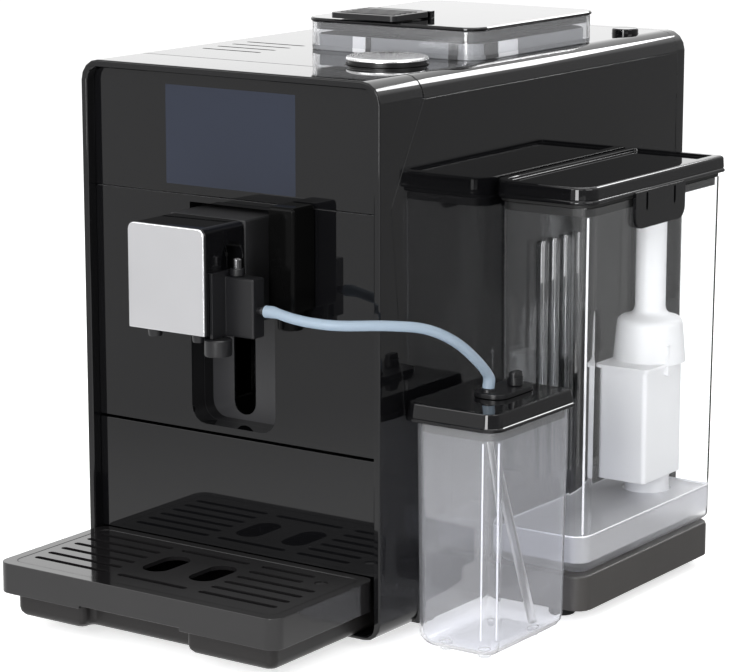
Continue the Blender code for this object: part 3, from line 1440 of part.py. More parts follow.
def make_hot_water_spout():
    """The fixed hot-water spout and the nozzle under it."""
    x = (WATER_SPOUT_LEFT, WATER_SPOUT_LEFT + WATER_SPOUT_WIDTH)
    y = (-WATER_SPOUT_REACH, FRONT_INSET - GAP)
    z = WATER_SPOUT_Z
    block = box("hot_water_spout", x, y, z, GLOSS_BLACK, WATER_SPOUT_EDGE, FILLET_STEPS)
    top = WATER_SPOUT_Z[0] - GAP
    bottom = top - WATER_NOZZLE_HEIGHT
    nozzle = turned(
        "hot_water_nozzle",
        [
            (WATER_NOZZLE_RADIUS, top),
            (WATER_NOZZLE_RADIUS, bottom + EDGE),
            (WATER_NOZZLE_RADIUS - EDGE, bottom),
            (WATER_NOZZLE_BORE, bottom),
            (WATER_NOZZLE_BORE, top),
        ],
        (middle(x), -WATER_NOZZLE_REACH, 0.0),
        MATTE_BLACK,
    )
    return block, nozzle


def basin_outline(inset):
    """The basin's outline in (x, y), with the finger grip drawn in at the front."""
    x = grown(BASIN_X, -inset)
    front = BASIN_FRONT + inset
    back = BASIN_BACK - inset
    grip = (GRIP_LEFT - inset, GRIP_LEFT + GRIP_WIDTH + inset)
    grip_back = front + GRIP_DEPTH
    corner = GRID_CORNER - inset * CORNER_INSET_SHARE
    return filleted([
        (x[0], front, corner),
        (grip[0], front, GRIP_CORNER),
        (grip[0], grip_back, GRIP_CORNER),
        (grip[1], grip_back, GRIP_CORNER),
        (grip[1], front, GRIP_CORNER),
        (x[1], front, corner),
        (x[1], back, corner),
        (x[0], back, corner),
    ])


def make_tray_basin(holder):
    """The open basin with its rounded foot, and the flange under the rim."""
    rings = [(BASIN_TOP, basin_outline(0.0)), (BASIN_FLOOR + BASIN_EDGE, basin_outline(0.0))]
    rings += [(BASIN_FLOOR + rise, basin_outline(inset)) for rise, inset in fillet(BASIN_EDGE)]
    basin = vessel("drip_tray_basin", rings, BASIN_WALL, TRAY_BROWN)
    inner = grown(TRAY_X, -RIM_WALL - GAP)
    flange = prism(
        "basin_flange",
        [rounded(inner, (TRAY_Y[0] + RIM_WALL + GAP, TRAY_Y[1] - GAP), RIM_CORNER - RIM_WALL)],
        (RIM_Z[0] - GAP - BASIN_FLANGE, RIM_Z[0] - GAP),
        "Z",
        TRAY_BROWN,
    )
    core = prism(
        "flange_core",
        [basin_outline(BASIN_WALL / 2)],
        grown((RIM_Z[0] - BASIN_FLANGE, RIM_Z[0]), OVERRUN),
        "Z",
        TRAY_BROWN,
    )
    return hold(fuse(basin, cut(flange, core)), holder)


def make_tray_rim(holder):
    """The rim round the grid with its apron, which has a shallow notch at the front."""
    outer = rounded(TRAY_X, TRAY_Y, RIM_CORNER)
    hole = rounded(grown(GRID_X, GAP), grown(GRID_Y, GAP), GRID_CORNER + GAP)
    rim = prism("drip_tray_rim", [outer, hole], RIM_Z, "Z", TRAY_BROWN)
    apron = prism("rim_apron", [outer], (APRON_BOTTOM, RIM_Z[0] + GAP), "Z", TRAY_BROWN)
    apron_core = prism(
        "apron_core",
        [arched(
            grown(TRAY_X, -RIM_WALL),
            (TRAY_Y[0] + RIM_WALL, TRAY_Y[1] + OVERRUN),
            0.0,
            RIM_CORNER - RIM_WALL,
        )],
        (APRON_BOTTOM - OVERRUN, RIM_Z[0] + OVERRUN),
        "Z",
        TRAY_BROWN,
    )
    notch = box(
        "apron_notch",
        (APRON_NOTCH_LEFT, APRON_NOTCH_LEFT + APRON_NOTCH_WIDTH),
        (TRAY_Y[0] - OVERRUN, TRAY_Y[0] + RIM_WALL + OVERRUN),
        (APRON_BOTTOM - OVERRUN, APRON_BOTTOM + APRON_NOTCH_RISE),
        TRAY_BROWN,
    )
    return hold(fuse(rim, cut(apron, apron_core, notch)), holder)


def grid_holes():
    """Outlines of the slots, the two cup openings and the float's hole."""
    holes = []
    for row in range(SLOT_ROWS):
        row_middle = FIRST_ROW + row * GRID_PITCH
        y = grown((row_middle, row_middle), GRID_SLOT / 2)
        long_right = row < SLOT_ROWS - SHORT_ROWS
        spans = [LEFT_SLOT, RIGHT_SLOT if long_right else (RIGHT_SLOT[0], SHORT_SLOT_END)]
        if row in (0, SLOT_ROWS - 1):
            spans.append(MIDDLE_SLOT)
        holes += [rounded(span, y, GRID_SLOT * ROUND_END_SHARE, END_STEPS) for span in spans]
    for side in (-1, 1):
        x_middle = STADIUM_MIDDLE + side * STADIUM_SPACING / 2
        holes.append(rounded(
            grown((x_middle, x_middle), STADIUM_WIDTH / 2),
            (STADIUM_FRONT, STADIUM_FRONT + STADIUM_DEPTH),
            STADIUM_WIDTH * ROUND_END_SHARE,
        ))
    holes.append(circle(FLOAT_X, FLOAT_Y, FLOAT_RADIUS + GAP))
    return holes


def make_drip_grid(holder):
    """The grid plate that cups stand on."""
    outline = rounded(GRID_X, GRID_Y, GRID_CORNER)
    height = (GRID_BOTTOM, GRID_BOTTOM + GRID_THICKNESS)
    return hold(prism("drip_grid", [outline, *grid_holes()], height, "Z", TRAY_BROWN), holder)


def make_tray_float(holder):
    """The float that rises through the grid when the basin is full."""
    bottom = BASIN_FLOOR + BASIN_WALL + GAP
    top = GRID_BOTTOM + GRID_THICKNESS
    profile = [
        (0.0, top),
        (FLOAT_RADIUS, top),
        (FLOAT_RADIUS, bottom + FLOAT_BASE_HEIGHT),
        (FLOAT_BASE_RADIUS, bottom + FLOAT_BASE_HEIGHT),
        (FLOAT_BASE_RADIUS, bottom),
        (0.0, bottom),
    ]
    place = (FLOAT_X, FLOAT_Y, 0.0)
    return hold(turned("tray_float", profile, place, TRAY_BROWN), holder)


def make_grounds_drawer(holder):
    """The drawer's front and the open container behind it."""
    z = (DRAWER_BOTTOM, DRAWER_TOP)
    front = prism("grounds_drawer_front", [rounded(FRONT_X, z, EDGE, END_STEPS)], FRONT_Y, "Y", GLOSS_BLACK)

    def ring(height, inset):
        return (height, rounded(grown(DRAWER_X, -inset), grown(DRAWER_Y, -inset), DRAWER_CORNER))

    rings = [ring(DRAWER_WALL_TOP, 0.0), ring(DRAWER_FLOOR + DRAWER_FOOT, DRAWER_TAPER)]
    rings += [ring(DRAWER_FLOOR + rise, DRAWER_TAPER + inset) for rise, inset in fillet(DRAWER_FOOT)]
    container = vessel("grounds_container", rings, THIN_WALL, MATTE_BLACK)
    hold(container, holder)
    return hold(front, holder)


def make_service_bay():
    """The bay that the grounds drawer slides in, on legs behind the drip tray."""
    inner = grown(DRAWER_X, BAY_GAP)
    outer = grown(inner, WALL)
    deck_top = DRAWER_FLOOR - GAP
    deck_bottom = deck_top - WALL
    outline = [
        (outer[0], FRAME_FLOOR),
        (inner[0], FRAME_FLOOR),
        (inner[0], deck_bottom),
        (inner[1], deck_bottom),
        (inner[1], FRAME_FLOOR),
        (outer[1], FRAME_FLOOR),
        (outer[1], DRAWER_WALL_TOP),
        (inner[1], DRAWER_WALL_TOP),
        (inner[1], deck_top),
        (inner[0], deck_top),
        (inner[0], DRAWER_WALL_TOP),
        (outer[0], DRAWER_WALL_TOP),
    ]
    depth = (BAY_FRONT, DRAWER_Y[1] + BAY_GAP)
    return prism("service_bay", [outline], depth, "Y", FRAME_GREY)


def tank_ring(height, inset):
    """One outline of the tank at a height."""
    x = grown(TANK_X, -inset)
    y = grown(TANK_Y, -inset)
    return (height, arched(x, y, BACK_CORNER, TANK_CORNER - inset))


def make_water_tank(holder):
    """The clear tank: tapered walls, rounded foot, valve seat and the lug for the lid's hinge."""
    rings = [tank_ring(TANK_TOP, 0.0), tank_ring(TANK_BOTTOM + TANK_EDGE, TANK_TAPER)]
    rings += [tank_ring(TANK_BOTTOM + rise, TANK_TAPER + inset) for rise, inset in fillet(TANK_EDGE)]
    tank = vessel("water_tank", rings, THIN_WALL, CLEAR_TANK)
    place = (TANK_MIDDLE, VALVE_Y, 0.0)
    collar = turned(
        "valve_collar",
        ring_profile(
            TANK_COLLAR_RADIUS,
            TANK_COLLAR_RADIUS - TANK_COLLAR_WIDTH,
            COLLAR_TOP,
            TANK_FLOOR - THIN_WALL / 2,
        ),
        place,
        CLEAR_TANK,
    )
    hole = turned(
        "valve_hole",
        disc_profile(VALVE_RADIUS + GAP, TANK_FLOOR + OVERRUN, TANK_BOTTOM - OVERRUN),
        place,
        CLEAR_TANK,
    )
    lug = box(
        "hinge_lug",
        grown((TANK_MIDDLE, TANK_MIDDLE), HINGE_LUG_WIDTH / 2),
        (TANK_Y[1] - THIN_WALL / 2, HINGE_Y + HINGE_PIN_RADIUS),
        (HINGE_Z - HINGE_LUG_DROP, TANK_TOP - GAP),
        CLEAR_TANK,
    )
    pin_length = HINGE_LUG_WIDTH + 2 * HINGE_KNUCKLE_WIDTH
    pin = turned(
        "hinge_pin",
        disc_profile(HINGE_PIN_RADIUS, pin_length / 2, -pin_length / 2),
        (TANK_MIDDLE, HINGE_Y, HINGE_Z),
        CLEAR_TANK,
        "X",
        PIN_STEPS,
    )
    return hold(cut(fuse(tank, collar, lug, pin), hole), holder)


def make_tank_lid(holder):
    """The tank's lid: drafted sides, a sunken top, the latch tab and two hinge knuckles."""
    def ring(height, inset):
        x = grown(TANK_LID_X, -inset)
        y = grown(TANK_LID_Y, -inset)
        return (height, arched(x, y, BACK_CORNER, TANK_CORNER + TANK_LID_OVERHANG - inset))

    top = TANK_LID_Z[1]
    edge = [ring(top - drop, TANK_LID_DRAFT + inset) for drop, inset in fillet(TANK_LID_SHOULDER)]
    sides = [ring(top - TANK_LID_SHOULDER, TANK_LID_DRAFT), ring(TANK_LID_Z[0], 0.0)]
    lid = loft("tank_lid", [*reversed(edge), *sides], GLOSS_BLACK)
    sink = prism(
        "lid_sink",
        [ring(0.0, TANK_LID_RIM)[1]],
        (top - TANK_LID_SINK, top + OVERRUN),
        "Z",
        GLOSS_BLACK,
    )
    pocket = prism(
        "lid_pocket",
        [ring(0.0, TANK_LID_RIM)[1]],
        (TANK_LID_Z[0] - OVERRUN, top - TANK_LID_SINK - TANK_LID_PANEL),
        "Z",
        GLOSS_BLACK,
    )
    tab_y = (LATCH_FRONT, LATCH_FRONT + LATCH_WIDTH)
    tab_x = (TANK_LID_X[1] - GAP - LATCH_THICKNESS / 2, TANK_LID_X[1] + LATCH_THICKNESS / 2)
    tab = prism(
        "latch_tab",
        [arched(tab_y, (LATCH_BOTTOM, TANK_LID_Z[0] + TANK_LID_SHOULDER), 0.0, LATCH_CORNER)],
        tab_x,
        "X",
        GLOSS_BLACK,
    )
    slots = []
    for slot_y in (tab_y[0] + LATCH_SLOT_INSET, tab_y[1] - LATCH_SLOT_INSET):
        slots.append(arched(
            grown((slot_y, slot_y), LATCH_SLOT_WIDTH / 2),
            (TANK_LID_Z[0] - LATCH_SLOT_LENGTH, TANK_LID_Z[0] + GAP),
            0.0,
            LATCH_SLOT_WIDTH * ROUND_END_SHARE,
            END_STEPS,
        ))
    slot_cutter = prism("latch_slots", slots, grown(tab_x, OVERRUN), "X", GLOSS_BLACK)
    knuckles = []
    for side in (-1, 1):
        knuckle_middle = TANK_MIDDLE + side * (HINGE_LUG_WIDTH + HINGE_KNUCKLE_WIDTH + SLIDING_GAP) / 2
        knuckle_outline = arched(
            (HINGE_Y - HINGE_RADIUS, HINGE_Y + HINGE_RADIUS),
            (HINGE_Z - HINGE_RADIUS, TANK_LID_Z[0] + GAP),
            0.0,
            HINGE_ROUNDING,
        )
        knuckle_x = grown((knuckle_middle, knuckle_middle), HINGE_KNUCKLE_WIDTH / 2)
        knuckle = prism("hinge_knuckle", [knuckle_outline], knuckle_x, "X", GLOSS_BLACK)
        bore_length = HINGE_KNUCKLE_WIDTH / 2 + OVERRUN
        bore = turned(
            "hinge_bore",
            disc_profile(HINGE_PIN_RADIUS + GAP, bore_length, -bore_length),
            (knuckle_middle, HINGE_Y, HINGE_Z),
            GLOSS_BLACK,
            "X",
            PIN_STEPS,
        )
        knuckles.append(cut(knuckle, bore))
    return hold(fuse(cut(lid, sink, pocket), cut(tab, slot_cutter), *knuckles), holder)


def make_tank_seal(holder):
    """The seal under the tank's lid: a flat ring on the tank's lip and a skirt inside it."""
    outer = tank_ring(0.0, GAP)[1]
    inset = THIN_WALL + SLIDING_GAP
    inner = tank_ring(0.0, inset + TANK_SEAL_WALL)[1]
    seal = prism("tank_lid_seal", [outer], (TANK_TOP + GAP, TANK_LID_Z[0] - GAP), "Z", SEAL_BLACK)
    skirt = prism(
        "seal_skirt",
        [tank_ring(0.0, inset)[1]],
        (TANK_TOP - TANK_SEAL_SKIRT, middle((TANK_TOP, TANK_LID_Z[0]))),
        "Z",
        SEAL_BLACK,
    )
    core = prism(
        "skirt_core", [inner], (TANK_TOP - TANK_SEAL_SKIRT - OVERRUN, TANK_LID_Z[0] + OVERRUN), "Z",
        SEAL_BLACK,
    )
    return hold(cut(fuse(seal, skirt), core), holder)


def make_tank_valve(holder):
    """The plunger that closes the tank's outlet and dips into the ledge's socket."""
    flange_bottom = TANK_FLOOR + GAP
    profile = [
        (0.0, VALVE_TOP),
        (VALVE_FLANGE_RADIUS, VALVE_TOP),
        (VALVE_FLANGE_RADIUS, flange_bottom),
        (VALVE_RADIUS, flange_bottom),
        (VALVE_RADIUS, TANK_BOTTOM - VALVE_DROP),
        (0.0, TANK_BOTTOM - VALVE_DROP),
    ]
    place = (TANK_MIDDLE, VALVE_Y, 0.0)
    return hold(turned("tank_valve", profile, place, MATTE_BLACK), holder)


def make_water_filter(holder):
    """The white filter: round base, square body with a flange, flared skirt and long neck."""
    turns = [math.pi / 2 * step / FILLET_STEPS for step in range(FILLET_STEPS + 1)]
    profile = [(0.0, FILTER_NECK_TOP), (FILTER_NECK_RADIUS, FILTER_NECK_TOP)]
    for turn in turns:
        profile.append((
            FILTER_NECK_RADIUS + FILTER_FLARE_RADIUS * (1 - math.cos(turn)),
            FILTER_FLARE_TOP - FILTER_FLARE_RADIUS * math.sin(turn),
        ))
    for turn in turns[1:]:
        profile.append((
            FILTER_NECK_RADIUS + FILTER_FLARE_RADIUS + FILTER_DOME_ROUNDING * math.sin(turn),
            FILTER_FLARE_TOP - FILTER_FLARE_RADIUS - FILTER_DOME_ROUNDING * (1 - math.cos(turn)),
        ))
    bottom = FILTER_BODY_TOP - GAP
    profile += [(FILTER_SKIRT_RADIUS, bottom), (0.0, bottom)]
    place = (TANK_MIDDLE, VALVE_Y, 0.0)
    top = turned("filter_top", profile, place, FILTER_WHITE)
    body_x = grown((TANK_MIDDLE, TANK_MIDDLE), FILTER_BODY_WIDTH / 2)
    body_back = VALVE_Y + FILTER_BODY_SETBACK
    body_y = (body_back - FILTER_BODY_DEPTH, body_back)
    body = prism(
        "water_filter",
        [rounded(body_x, body_y, FILTER_CORNER, FILLET_STEPS)],
        (FILTER_BODY_BOTTOM, FILTER_BODY_TOP),
        "Z",
        FILTER_WHITE,
    )
    flange_limits = (grown(body_x, FILTER_FLANGE), grown(body_y, FILTER_FLANGE))
    flange = prism(
        "filter_flange",
        [rounded(*flange_limits, FILTER_CORNER, FILLET_STEPS)],
        (FILTER_BODY_TOP - FILTER_FLANGE_THICKNESS / 2, FILTER_BODY_TOP + FILTER_FLANGE_THICKNESS / 2),
        "Z",
        FILTER_WHITE,
    )
    base = turned(
        "filter_base",
        disc_profile(FILTER_BASE_RADIUS, FILTER_BODY_BOTTOM + GAP, FILTER_BASE),
        place,
        FILTER_WHITE,
    )
    return hold(fuse(body, flange, top, base), holder)


def milk_ring(height, inset):
    """One outline of the milk container at a height."""
    x = grown(MILK_X, -inset)
    y = grown(MILK_Y, -inset)
    return (height, arched(x, y, BACK_CORNER, MILK_CORNER - inset * CORNER_INSET_SHARE))


def make_milk_container(holder):
    """The clear milk container with its well rounded foot and four small feet."""
    rings = [milk_ring(MILK_TOP, 0.0), milk_ring(MILK_FLOOR + MILK_EDGE, MILK_TAPER)]
    for rise, inset in fillet(MILK_EDGE, CORNER_STEPS):
        rings.append(milk_ring(MILK_FLOOR + rise, MILK_TAPER + inset))
    container = vessel("milk_container", rings, THIN_WALL, CLEAR_TANK)
    feet = []
    for x in grown(MILK_X, -MILK_FOOT_INSET):
        for y in grown(MILK_Y, -MILK_FOOT_INSET):
            profile = disc_profile(MILK_FOOT_RADIUS, MILK_FLOOR + THIN_WALL / 2, -FOOT_HEIGHT)
            feet.append(turned("milk_foot", profile, (x, y, 0.0), CLEAR_TANK, steps=PIN_STEPS))
    return hold(fuse(container, *feet), holder)


def make_milk_lid(holder):
    """The milk container's lid, hollow from below, with a flange and bevelled sides."""
    def ring(height, inset):
        x = grown(MILK_LID_X, -inset)
        y = grown(MILK_LID_Y, -inset)
        return (height, arched(x, y, BACK_CORNER, max(MILK_LID_CORNER - inset, MILK_LID_FLANGE)))

    bottom, top = MILK_LID_Z
    shoulder = MILK_LID_STEP + MILK_LID_SHOULDER
    lid = loft("milk_lid", [
        ring(top, shoulder + EDGE),
        ring(top - EDGE, shoulder),
        ring(bottom + MILK_LID_FLANGE, MILK_LID_STEP),
        ring(bottom + MILK_LID_FLANGE, 0.0),
        ring(bottom, 0.0),
    ], GLOSS_BLACK)
    pocket = prism(
        "milk_lid_pocket",
        [ring(0.0, MILK_LID_POCKET)[1]],
        (bottom - OVERRUN, top - MILK_LID_SKIN),
        "Z",
        GLOSS_BLACK,
    )
    hold(cut(lid, pocket), holder)
    inset = THIN_WALL + SLIDING_GAP
    outer = milk_ring(0.0, inset)[1]
    inner = milk_ring(0.0, inset + MILK_SEAL_WALL)[1]
    seal = prism(
        "milk_lid_seal", [outer, inner], (MILK_TOP - MILK_SEAL_HEIGHT, MILK_TOP), "Z", SEAL_BLACK
    )
    return hold(seal, holder)


def make_milk_connector(holder):
    """The raised plate on the lid with the low stub that the hose ends on."""
    x = CONNECTOR_X
    y = (CONNECTOR_FRONT, CONNECTOR_FRONT + CONNECTOR_DEPTH)
    plate = prism("milk_connector", [rounded(x, y, CONNECTOR_CORNER)], CONNECTOR_Z, "Z", MATTE_BLACK)
    stub = turned(
        "connector_stub",
        disc_profile(STUB_RADIUS, CONNECTOR_Z[1] + STUB_HEIGHT, middle(CONNECTOR_Z)),
        (STUB_X, STUB_Y, 0.0),
        MATTE_BLACK,
    )
    return hold(fuse(plate, stub), holder)


def make_milk_knob(holder):
    """The small turning knob on the connector plate, with a flat finger ridge across it."""
    bottom = CONNECTOR_Z[1] + GAP
    top = bottom + KNOB_HEIGHT
    knob = turned(
        "milk_knob", disc_profile(KNOB_RADIUS, top, bottom, EDGE / 2), (KNOB_X, KNOB_Y, 0.0), MATTE_BLACK
    )
    for side in (-1, 1):
        inner = KNOB_X + side * KNOB_RIDGE_HALF
        outer = KNOB_X + side * (KNOB_RADIUS + OVERRUN)
        flat = box(
            "knob_flat",
            (min(inner, outer), max(inner, outer)),
            grown((KNOB_Y, KNOB_Y), KNOB_RADIUS + OVERRUN),
            (bottom + KNOB_RIDGE_BOTTOM, top + OVERRUN),
            MATTE_BLACK,
        )
        cut(knob, flat)
    return hold(knob, holder)


def make_suction_tube(holder):
    """The tube that reaches from the lid down to the container's floor."""
    top = Vector((STUB_X, STUB_Y, MILK_LID_Z[1] - MILK_LID_SKIN - SLIDING_GAP))
    neck = top - Vector((0.0, 0.0, SUCTION_NECK))
    points = smooth_route([top, neck, (SUCTION_X, SUCTION_Y, SUCTION_BOTTOM)], SUCTION_SPACING)
    return hold(tube("suction_tube", points, SUCTION_RADIUS, CLEAR_HOSE), holder)


def make_bean_hopper():
    """The clear hopper: walls above the top panel, a step onto it and a funnel to the grinder."""
    def ring(height, inset):
        corner = HOPPER_CORNER - inset
        return (height, rounded(grown(HOPPER_X, -inset), grown(HOPPER_Y, -inset), corner))

    def throat(height, radius):
        points = []
        count = 4 * (CORNER_STEPS + 1)
        for index in range(count):
            turn = 2 * math.pi * (index + 0.5) / count + math.pi
            points.append((THROAT_X + radius * math.cos(turn), THROAT_Y + radius * math.sin(turn)))
        return (height, points)

    shaft_bottom = HOUSING_HEIGHT - HOPPER_SHAFT
    rings = [
        ring(HOPPER_TOP, 0.0),
        ring(HOPPER_BASE, 0.0),
        ring(HOPPER_BASE, HOPPER_STEP),
        ring(shaft_bottom, HOPPER_STEP),
        throat(HOPPER_THROAT, THROAT_RADIUS),
    ]
    return vessel("bean_hopper", rings, HOPPER_WALL, CLEAR_HOPPER, open_below=True)


def make_hopper_lid(holder):
    """The hopper's lid with its skirt, the powder opening and the two lugs of the flap's hinge."""
    x = grown(HOPPER_X, LID_OVERHANG)
    y = grown(HOPPER_Y, LID_OVERHANG)
    corner = HOPPER_CORNER + LID_OVERHANG
    lid = prism("hopper_lid", [rounded(x, y, corner)], LID_Z, "Z", GLOSS_BLACK)
    round_edges(lid, EDGE, 1)
    inset = HOPPER_WALL + GAP
    skirt_outer = rounded(grown(HOPPER_X, -inset), grown(HOPPER_Y, -inset), HOPPER_CORNER - inset)
    inner_inset = inset + LID_SKIRT_WALL
    skirt_inner = rounded(
        grown(HOPPER_X, -inner_inset), grown(HOPPER_Y, -inner_inset), HOPPER_CORNER - inner_inset
    )
    skirt = prism(
        "lid_skirt",
        [skirt_outer, skirt_inner],
        (LID_Z[0] - LID_SKIRT_HEIGHT, middle(LID_Z)),
        "Z",
        GLOSS_BLACK,
    )
    opening = prism(
        "powder_opening",
        [rounded(grown(FLAP_X, -OPENING_SIDE_MARGIN), grown(FLAP_Y, -OPENING_END_MARGIN), FLAP_CORNER)],
        grown(LID_Z, OVERRUN),
        "Z",
        GLOSS_BLACK,
    )
    lugs = []
    for side in (-1, 1):
        end = FLAP_X[0] if side < 0 else FLAP_X[1]
        lug_middle = end - side * FLAP_LUG_WIDTH / 2
        lug = box(
            "flap_lug",
            grown((lug_middle, lug_middle), FLAP_LUG_WIDTH / 2 - GAP),
            grown((FLAP_AXIS_Y, FLAP_AXIS_Y), FLAP_LUG_DEPTH / 2),
            (middle(LID_Z), FLAP_AXIS_Z + FLAP_BARREL_RADIUS),
            GLOSS_BLACK,
        )
        bore = turned(
            "lug_bore",
            disc_profile(FLAP_PIN_RADIUS + GAP, FLAP_LUG_WIDTH, -FLAP_LUG_WIDTH),
            (lug_middle, FLAP_AXIS_Y, FLAP_AXIS_Z),
            GLOSS_BLACK,
            "X",
            PIN_STEPS,
        )
        lugs.append(cut(lug, bore))
    return hold(cut(fuse(lid, skirt, *lugs), opening), holder)


def make_powder_flap(holder):
    """The flap over the powder opening, with the barrel and pin of its hinge."""
    flap = prism("powder_flap", [rounded(FLAP_X, FLAP_Y, FLAP_CORNER)], FLAP_Z, "Z", MATTE_BLACK)
    barrel_x = grown(FLAP_X, -FLAP_LUG_WIDTH - GAP)
    arm = box(
        "flap_arm",
        barrel_x,
        (FLAP_Y[1] - FLAP_CORNER, FLAP_AXIS_Y),
        (FLAP_Z[0], FLAP_AXIS_Z + FLAP_BARREL_RADIUS - FLAP_ARM_DROP),
        MATTE_BLACK,
    )
    barrel = turned(
        "flap_barrel",
        disc_profile(FLAP_BARREL_RADIUS, length(barrel_x) / 2, -length(barrel_x) / 2),
        (middle(barrel_x), FLAP_AXIS_Y, FLAP_AXIS_Z),
        MATTE_BLACK,
        "X",
        PIN_STEPS,
    )
    pin_half = length(FLAP_X) / 2 - GAP
    pin = turned(
        "flap_pin",
        disc_profile(FLAP_PIN_RADIUS, pin_half, -pin_half),
        (middle(FLAP_X), FLAP_AXIS_Y, FLAP_AXIS_Z),
        MATTE_BLACK,
        "X",
        PIN_STEPS,
    )
    return hold(fuse(flap, arm, barrel, pin), holder)


def make_dial(holder):
    """The grinder dial with its dished chrome top and the shaft through the panel."""
    bottom = HOUSING_HEIGHT + GAP
    top = HOUSING_HEIGHT + DIAL_HEIGHT
    rim_outer = DIAL_RADIUS - DIAL_CHAMFER
    rim_inner = rim_outer - DIAL_RIM
    profile = [
        (0.0, top - DIAL_DISH),
        (rim_inner - DIAL_RIM, top - DIAL_DISH),
        (rim_inner, top),
        (rim_outer, top),
        (DIAL_RADIUS, top - DIAL_CHAMFER),
        (DIAL_RADIUS, bottom),
        (DIAL_SHAFT_RADIUS, bottom),
        (DIAL_SHAFT_RADIUS, bottom - DIAL_SHAFT_DEPTH),
        (0.0, bottom - DIAL_SHAFT_DEPTH),
    ]
    place = (DIAL_X, DIAL_Y, 0.0)
    return hold(turned("grinder_dial", profile, place, LIGHT_CHROME, steps=FINE_STEPS), holder)


def make_button(holder):
    """The round button, kept in its hole by a flange under the panel."""
    top = HOUSING_HEIGHT + BUTTON_PRESSED_HEIGHT + BUTTON_TRAVEL
    flange_top = HOUSING_HEIGHT - WALL - GAP
    flange_radius = BUTTON_RADIUS + BUTTON_FLANGE
    flange_bottom = flange_top - BUTTON_FLANGE_THICKNESS
    bottom = flange_top - BUTTON_DEPTH
    profile = [
        (0.0, top),
        (BUTTON_RADIUS - EDGE, top),
        (BUTTON_RADIUS, top - EDGE),
        (BUTTON_RADIUS, flange_top),
        (flange_radius, flange_top),
        (flange_radius, flange_bottom),
        (BUTTON_RADIUS, flange_bottom),
        (BUTTON_RADIUS, bottom),
        (0.0, bottom),
    ]
    return hold(turned("power_button", profile, (BUTTON_X, BUTTON_Y, 0.0), GLOSS_BLACK), holder)


def make_inner_frame():
    """The frame inside the housing: the brew unit's bay and the deck under the grinder."""
    bay = BAY_X
    bay_top = FRAME_FLOOR + FRAME_BAY_HEIGHT
    outline = [
        (bay[0], FRAME_FLOOR),
        (bay[1], FRAME_FLOOR),
        (bay[1], FRAME_DECK - FRAME_WALL),
        (FRAME_RIGHT - FRAME_WALL, FRAME_DECK - FRAME_WALL),
        (FRAME_RIGHT - FRAME_WALL, FRAME_FLOOR),
        (FRAME_RIGHT, FRAME_FLOOR),
        (FRAME_RIGHT, FRAME_DECK),
        (bay[1], FRAME_DECK),
        (bay[1], bay_top),
        (bay[1] - FRAME_WALL, bay_top),
        (bay[1] - FRAME_WALL, BAY_FLOOR),
        (bay[0] + FRAME_WALL, BAY_FLOOR),
        (bay[0] + FRAME_WALL, bay_top),
        (bay[0], bay_top),
    ]
    return prism("inner_frame", [outline], FRAME_Y, "Y", FRAME_GREY)


def make_grinder():
    """The grinder under the hopper's throat and its motor on the frame's deck."""
    top = GRINDER_TOP
    bottom = GRINDER_BOTTOM
    shoulder = top - GRINDER_NECK_HEIGHT
    bore = THROAT_RADIUS - HOPPER_WALL
    profile = [
        (0.0, top),
        (GRINDER_NECK_RADIUS, top),
        (GRINDER_NECK_RADIUS, shoulder),
        (GRINDER_RADIUS, shoulder - GRINDER_NECK_HEIGHT / 2),
        (GRINDER_RADIUS, bottom + GRINDER_FOOT_HEIGHT),
        (GRINDER_FOOT_RADIUS, bottom),
        (0.0, bottom),
    ]
    place = (THROAT_X, THROAT_Y, 0.0)
    grinder = turned("grinder", profile, place, FRAME_GREY)
    funnel = turned(
        "grinder_bore",
        disc_profile(bore, top + OVERRUN, top - GRINDER_BORE_DEPTH),
        place,
        FRAME_GREY,
    )
    motor = turned(
        "grinder_motor",
        disc_profile(MOTOR_RADIUS, bottom - GAP, FRAME_DECK + GAP, EDGE),
        place,
        BOILER_METAL,
    )
    return cut(grinder, funnel), motor


def make_brew_unit(holder):
    """The brew chamber in its bay and the piston that presses in it."""
    place = (CHAMBER_X, CHAMBER_Y, 0.0)
    foot_bottom = BAY_FLOOR + GAP
    foot_top = foot_bottom + CHAMBER_FOOT_HEIGHT
    chamber = turned(
        "brew_chamber",
        [
            (0.0, CHAMBER_TOP),
            (CHAMBER_RADIUS, CHAMBER_TOP),
            (CHAMBER_RADIUS, foot_top),
            (CHAMBER_FOOT_RADIUS, foot_top),
            (CHAMBER_FOOT_RADIUS, foot_bottom),
            (0.0, foot_bottom),
        ],
        place,
        FRAME_GREY,
    )
    bore = turned(
        "chamber_bore", disc_profile(CHAMBER_BORE, CHAMBER_TOP + OVERRUN, CHAMBER_FLOOR), place, FRAME_GREY
    )
    cut(chamber, bore)
    bottom = CHAMBER_FLOOR + GAP
    piston = turned(
        "brew_piston",
        [
            (0.0, PISTON_ROD_TOP),
            (PISTON_ROD_RADIUS, PISTON_ROD_TOP),
            (PISTON_ROD_RADIUS, bottom + PISTON_LENGTH),
            (CHAMBER_BORE - GAP, bottom + PISTON_LENGTH),
            (CHAMBER_BORE - GAP, bottom),
            (0.0, bottom),
        ],
        place,
        BOILER_METAL,
    )
    return chamber, hold(piston, holder)


